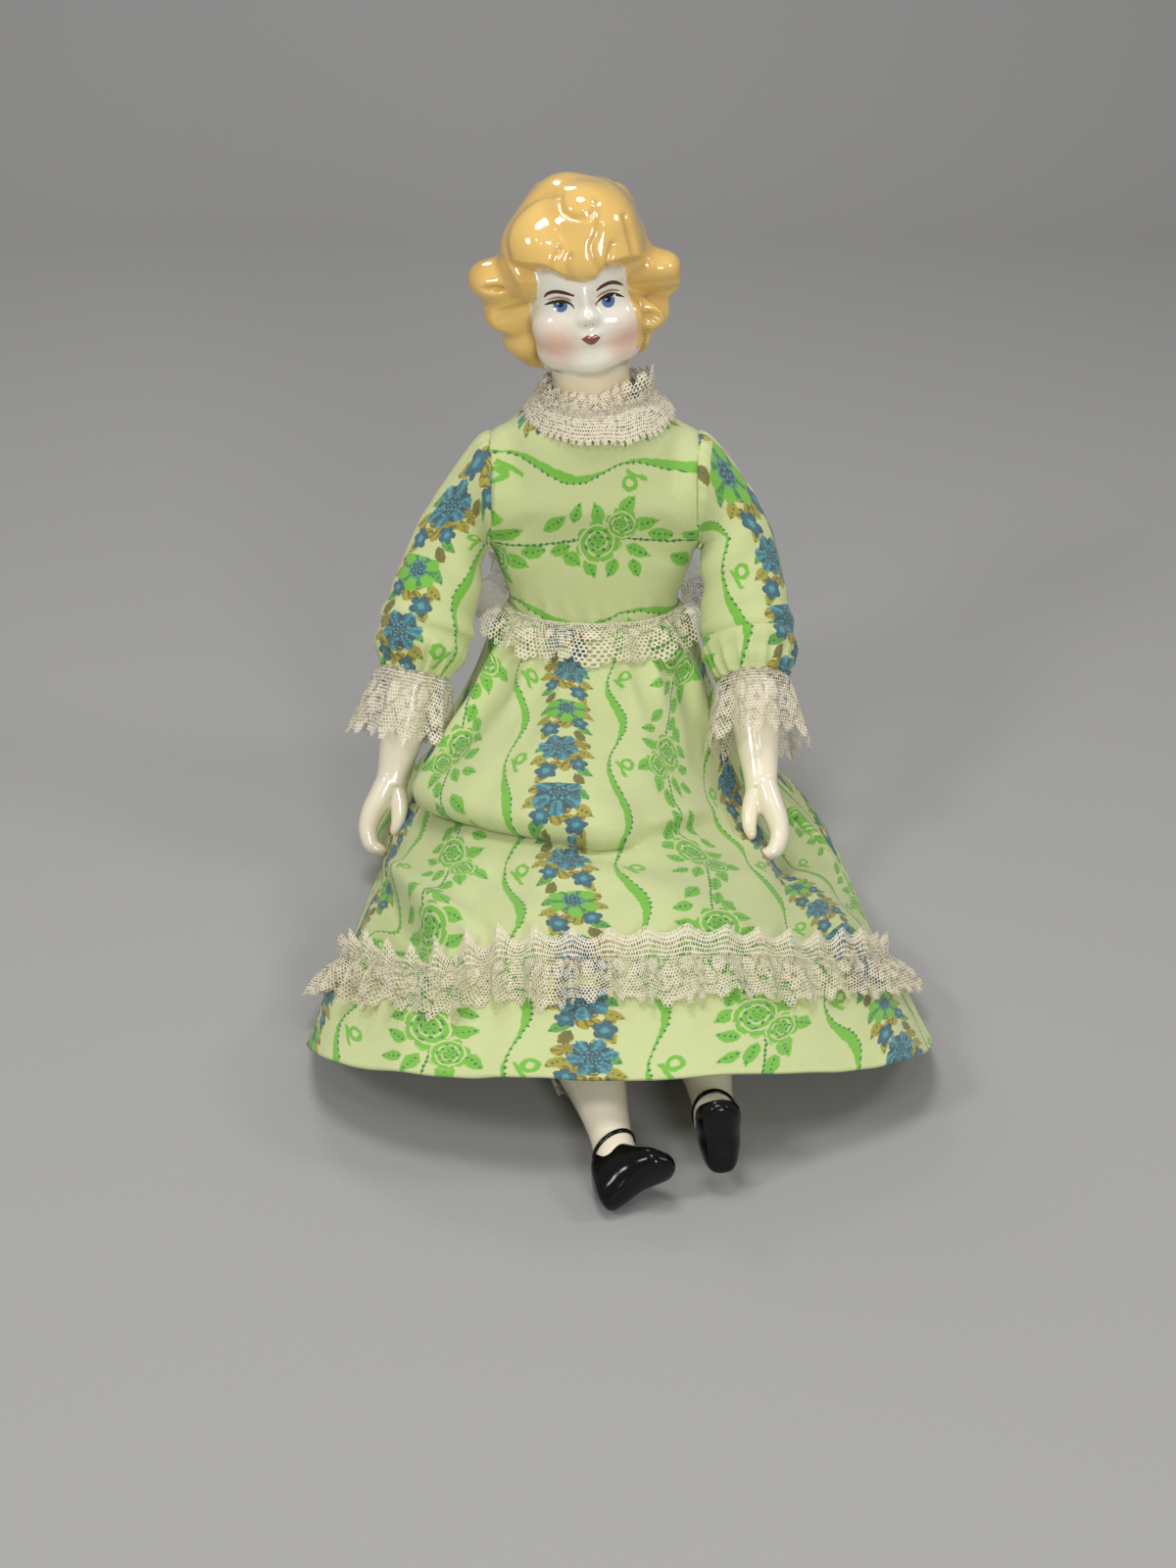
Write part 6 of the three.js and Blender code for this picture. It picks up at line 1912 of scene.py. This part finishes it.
class DressLooks(bpy.types.PropertyGroup):
    """Colours and sizes of the cloth, its print and its lace."""

    stripe_width: width("Stripe width", "Distance from one flower stripe to the next", 0.094)
    print_run: width("Print run", "Length along the cloth after which the print repeats", 0.088)
    ribbon_at: width("Ribbon place", "Distance of the ribbon from the flower stripe", 0.0195)
    ground: tint("Ground", "Pale green of the cloth", (0.57, 0.63, 0.27))
    ground_faded: tint("Faded ground", "Pale green where it has faded", (0.61, 0.66, 0.33))
    leaf_green: tint("Leaf green", "Bright green of leaves, roses and ribbon", (0.15, 0.48, 0.02))
    leaf_deep: tint("Deep leaf", "Green in the shade of the flowers", (0.02, 0.2, 0.06))
    dot_green: tint("Dots", "Dark green of the dots", (0.008, 0.13, 0.075))
    flower_blue: tint("Flower", "Blue of the flowers", (0.005, 0.115, 0.195))
    flower_deep: tint("Flower shade", "Dark blue of the flowers", (0.002, 0.04, 0.085))
    flower_pale: tint("Flower light", "Pale blue of the flowers", (0.06, 0.29, 0.35))
    ochre: tint("Ochre", "Ochre of the stripe's leaves", (0.37, 0.3, 0.012))
    ochre_dark: tint("Dark ochre", "Ochre in shade", (0.17, 0.12, 0.004))
    thread_shade: tint("Thread shade", "Shade between the threads", (0.4, 0.44, 0.28))
    lace: tint("Lace", "Cream of the lace", (0.82, 0.76, 0.61))
    lace_aged: tint("Aged lace", "Cream where it has yellowed", (0.75, 0.66, 0.48))
    lace_shade: tint("Lace shade", "Shade between the lace's threads", (0.5, 0.44, 0.34))
    muslin: tint("Muslin", "Cloth of the stuffed body", (0.74, 0.66, 0.52))
    muslin_shade: tint("Muslin shade", "Cloth of the body where it has aged", (0.62, 0.52, 0.38))
    lawn: tint("Lawn", "White of the drawers", (0.82, 0.8, 0.74))
    lawn_shade: tint("Lawn shade", "White of the drawers where it has aged", (0.74, 0.7, 0.6))
    seam_thread: tint("Seam thread", "Sewing thread", (0.74, 0.72, 0.62))
    seam_thread_shade: tint("Seam thread shade", "Sewing thread in its twist", (0.5, 0.47, 0.38))
    snap: tint("Snap", "Nickel of the snaps", (0.62, 0.61, 0.58))
    snap_dull: tint("Dull snap", "Nickel where it has dulled", (0.4, 0.38, 0.34))


class StageLooks(bpy.types.PropertyGroup):
    """Colours and light of the stage."""

    floor: tint("Floor", "Pale grey of the paper", (0.36, 0.355, 0.35))
    floor_shade: tint("Floor grain", "Grey of the paper's grain", (0.335, 0.33, 0.325))
    light: bpy.props.FloatProperty(name="Light", description="Strength of all the lamps", default=0.8,
                                   min=0.0)


SETTINGS = {"doll_china": ChinaLooks, "doll_dress": DressLooks, "doll_stage": StageLooks}


class CameraOperator(bpy.types.Operator):
    """Place the camera where the photograph was taken"""

    bl_idname = "china_doll.camera"
    bl_label = "Camera"

    def execute(self, context):
        build_camera()
        return {"FINISHED"}


class StageOperator(bpy.types.Operator):
    """Lay the paper sweep and hang the lamps"""

    bl_idname = "china_doll.stage"
    bl_label = "Stage"

    def execute(self, context):
        build_stage(context.scene.doll_stage)
        return {"FINISHED"}


class HeadOperator(bpy.types.Operator):
    """Model the glazed head and paint its face"""

    bl_idname = "china_doll.head"
    bl_label = "Head"

    def execute(self, context):
        build_face(build_head(context.scene.doll_china))
        return {"FINISHED"}


class LimbsOperator(bpy.types.Operator):
    """Model the glazed forearms, legs and shoes"""

    bl_idname = "china_doll.limbs"
    bl_label = "Glazed limbs"

    def execute(self, context):
        build_legs(context.scene.doll_china, build_forearms(context.scene.doll_china))
        return {"FINISHED"}


class BodyOperator(bpy.types.Operator):
    """Stuff the trunk, the upper arms and the thighs, and put on the drawers"""

    bl_idname = "china_doll.body"
    bl_label = "Stuffed body"

    def execute(self, context):
        muslin = build_body(context.scene.doll_dress)
        build_upper_arms(muslin)
        build_thighs(context.scene.doll_dress, muslin)
        return {"FINISHED"}


def dress_node(name, material):
    """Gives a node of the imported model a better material."""
    for holder in frame["nodes"][name].material_slots:
        holder.material = material


class DressOperator(bpy.types.Operator):
    """Sew the bodice, its back flap, the sleeves and the skirt"""

    bl_idname = "china_doll.dress"
    bl_label = "Dress"

    def execute(self, context):
        looks = context.scene.doll_dress
        cotton = printed_cotton(looks)
        thread = plain_cloth("seam_thread", looks.seam_thread, looks.seam_thread_shade, 0.0003)
        build_bodice(cotton)
        build_placket(cotton, thread)
        build_sleeves(cotton)
        build_skirt(cotton)
        metal = snap_metal(looks)
        for name in frame["nodes"]:
            if "stitch" in name or "tie" in name:
                dress_node(name, thread)
            elif "snap" in name:
                dress_node(name, metal)
        return {"FINISHED"}


class LaceOperator(bpy.types.Operator):
    """Make the lace of the collar, waist, cuffs, hem and drawers"""

    bl_idname = "china_doll.lace"
    bl_label = "Lace"

    def execute(self, context):
        thread = lace_thread(context.scene.doll_dress)
        build_collar(thread)
        build_waist_lace(thread)
        build_cuffs(thread)
        build_hem_lace(thread)
        build_drawers_lace(thread)
        return {"FINISHED"}


OPERATORS = (
    CameraOperator, StageOperator, HeadOperator, LimbsOperator, BodyOperator, DressOperator, LaceOperator,
)


class DollPanel(bpy.types.Panel):
    """Lists the steps that build the doll"""

    bl_idname = "VIEW3D_PT_china_doll"
    bl_label = "China doll"
    bl_space_type = "VIEW_3D"
    bl_region_type = "UI"
    bl_category = "China doll"

    def draw(self, context):
        for operator in OPERATORS:
            self.layout.operator(operator.bl_idname)
        for setting in SETTINGS:
            group = getattr(context.scene, setting)
            for name in group.bl_rna.properties.keys():
                if name not in {"rna_type", "name"}:
                    self.layout.prop(group, name)


CLASSES = (*SETTINGS.values(), *OPERATORS, DollPanel)


def register():
    for item in CLASSES:
        bpy.utils.register_class(item)
    for setting, group in SETTINGS.items():
        setattr(bpy.types.Scene, setting, bpy.props.PointerProperty(type=group))


def unregister():
    for setting in SETTINGS:
        delattr(bpy.types.Scene, setting)
    for item in reversed(CLASSES):
        bpy.utils.unregister_class(item)


def main():
    """Builds the doll piece by piece."""
    register()
    bpy.ops.china_doll.camera()
    bpy.ops.china_doll.stage()
    bpy.ops.china_doll.head()
    bpy.ops.china_doll.limbs()
    bpy.ops.china_doll.body()
    bpy.ops.china_doll.dress()
    bpy.ops.china_doll.lace()


if __name__ == "__main__":
    main()
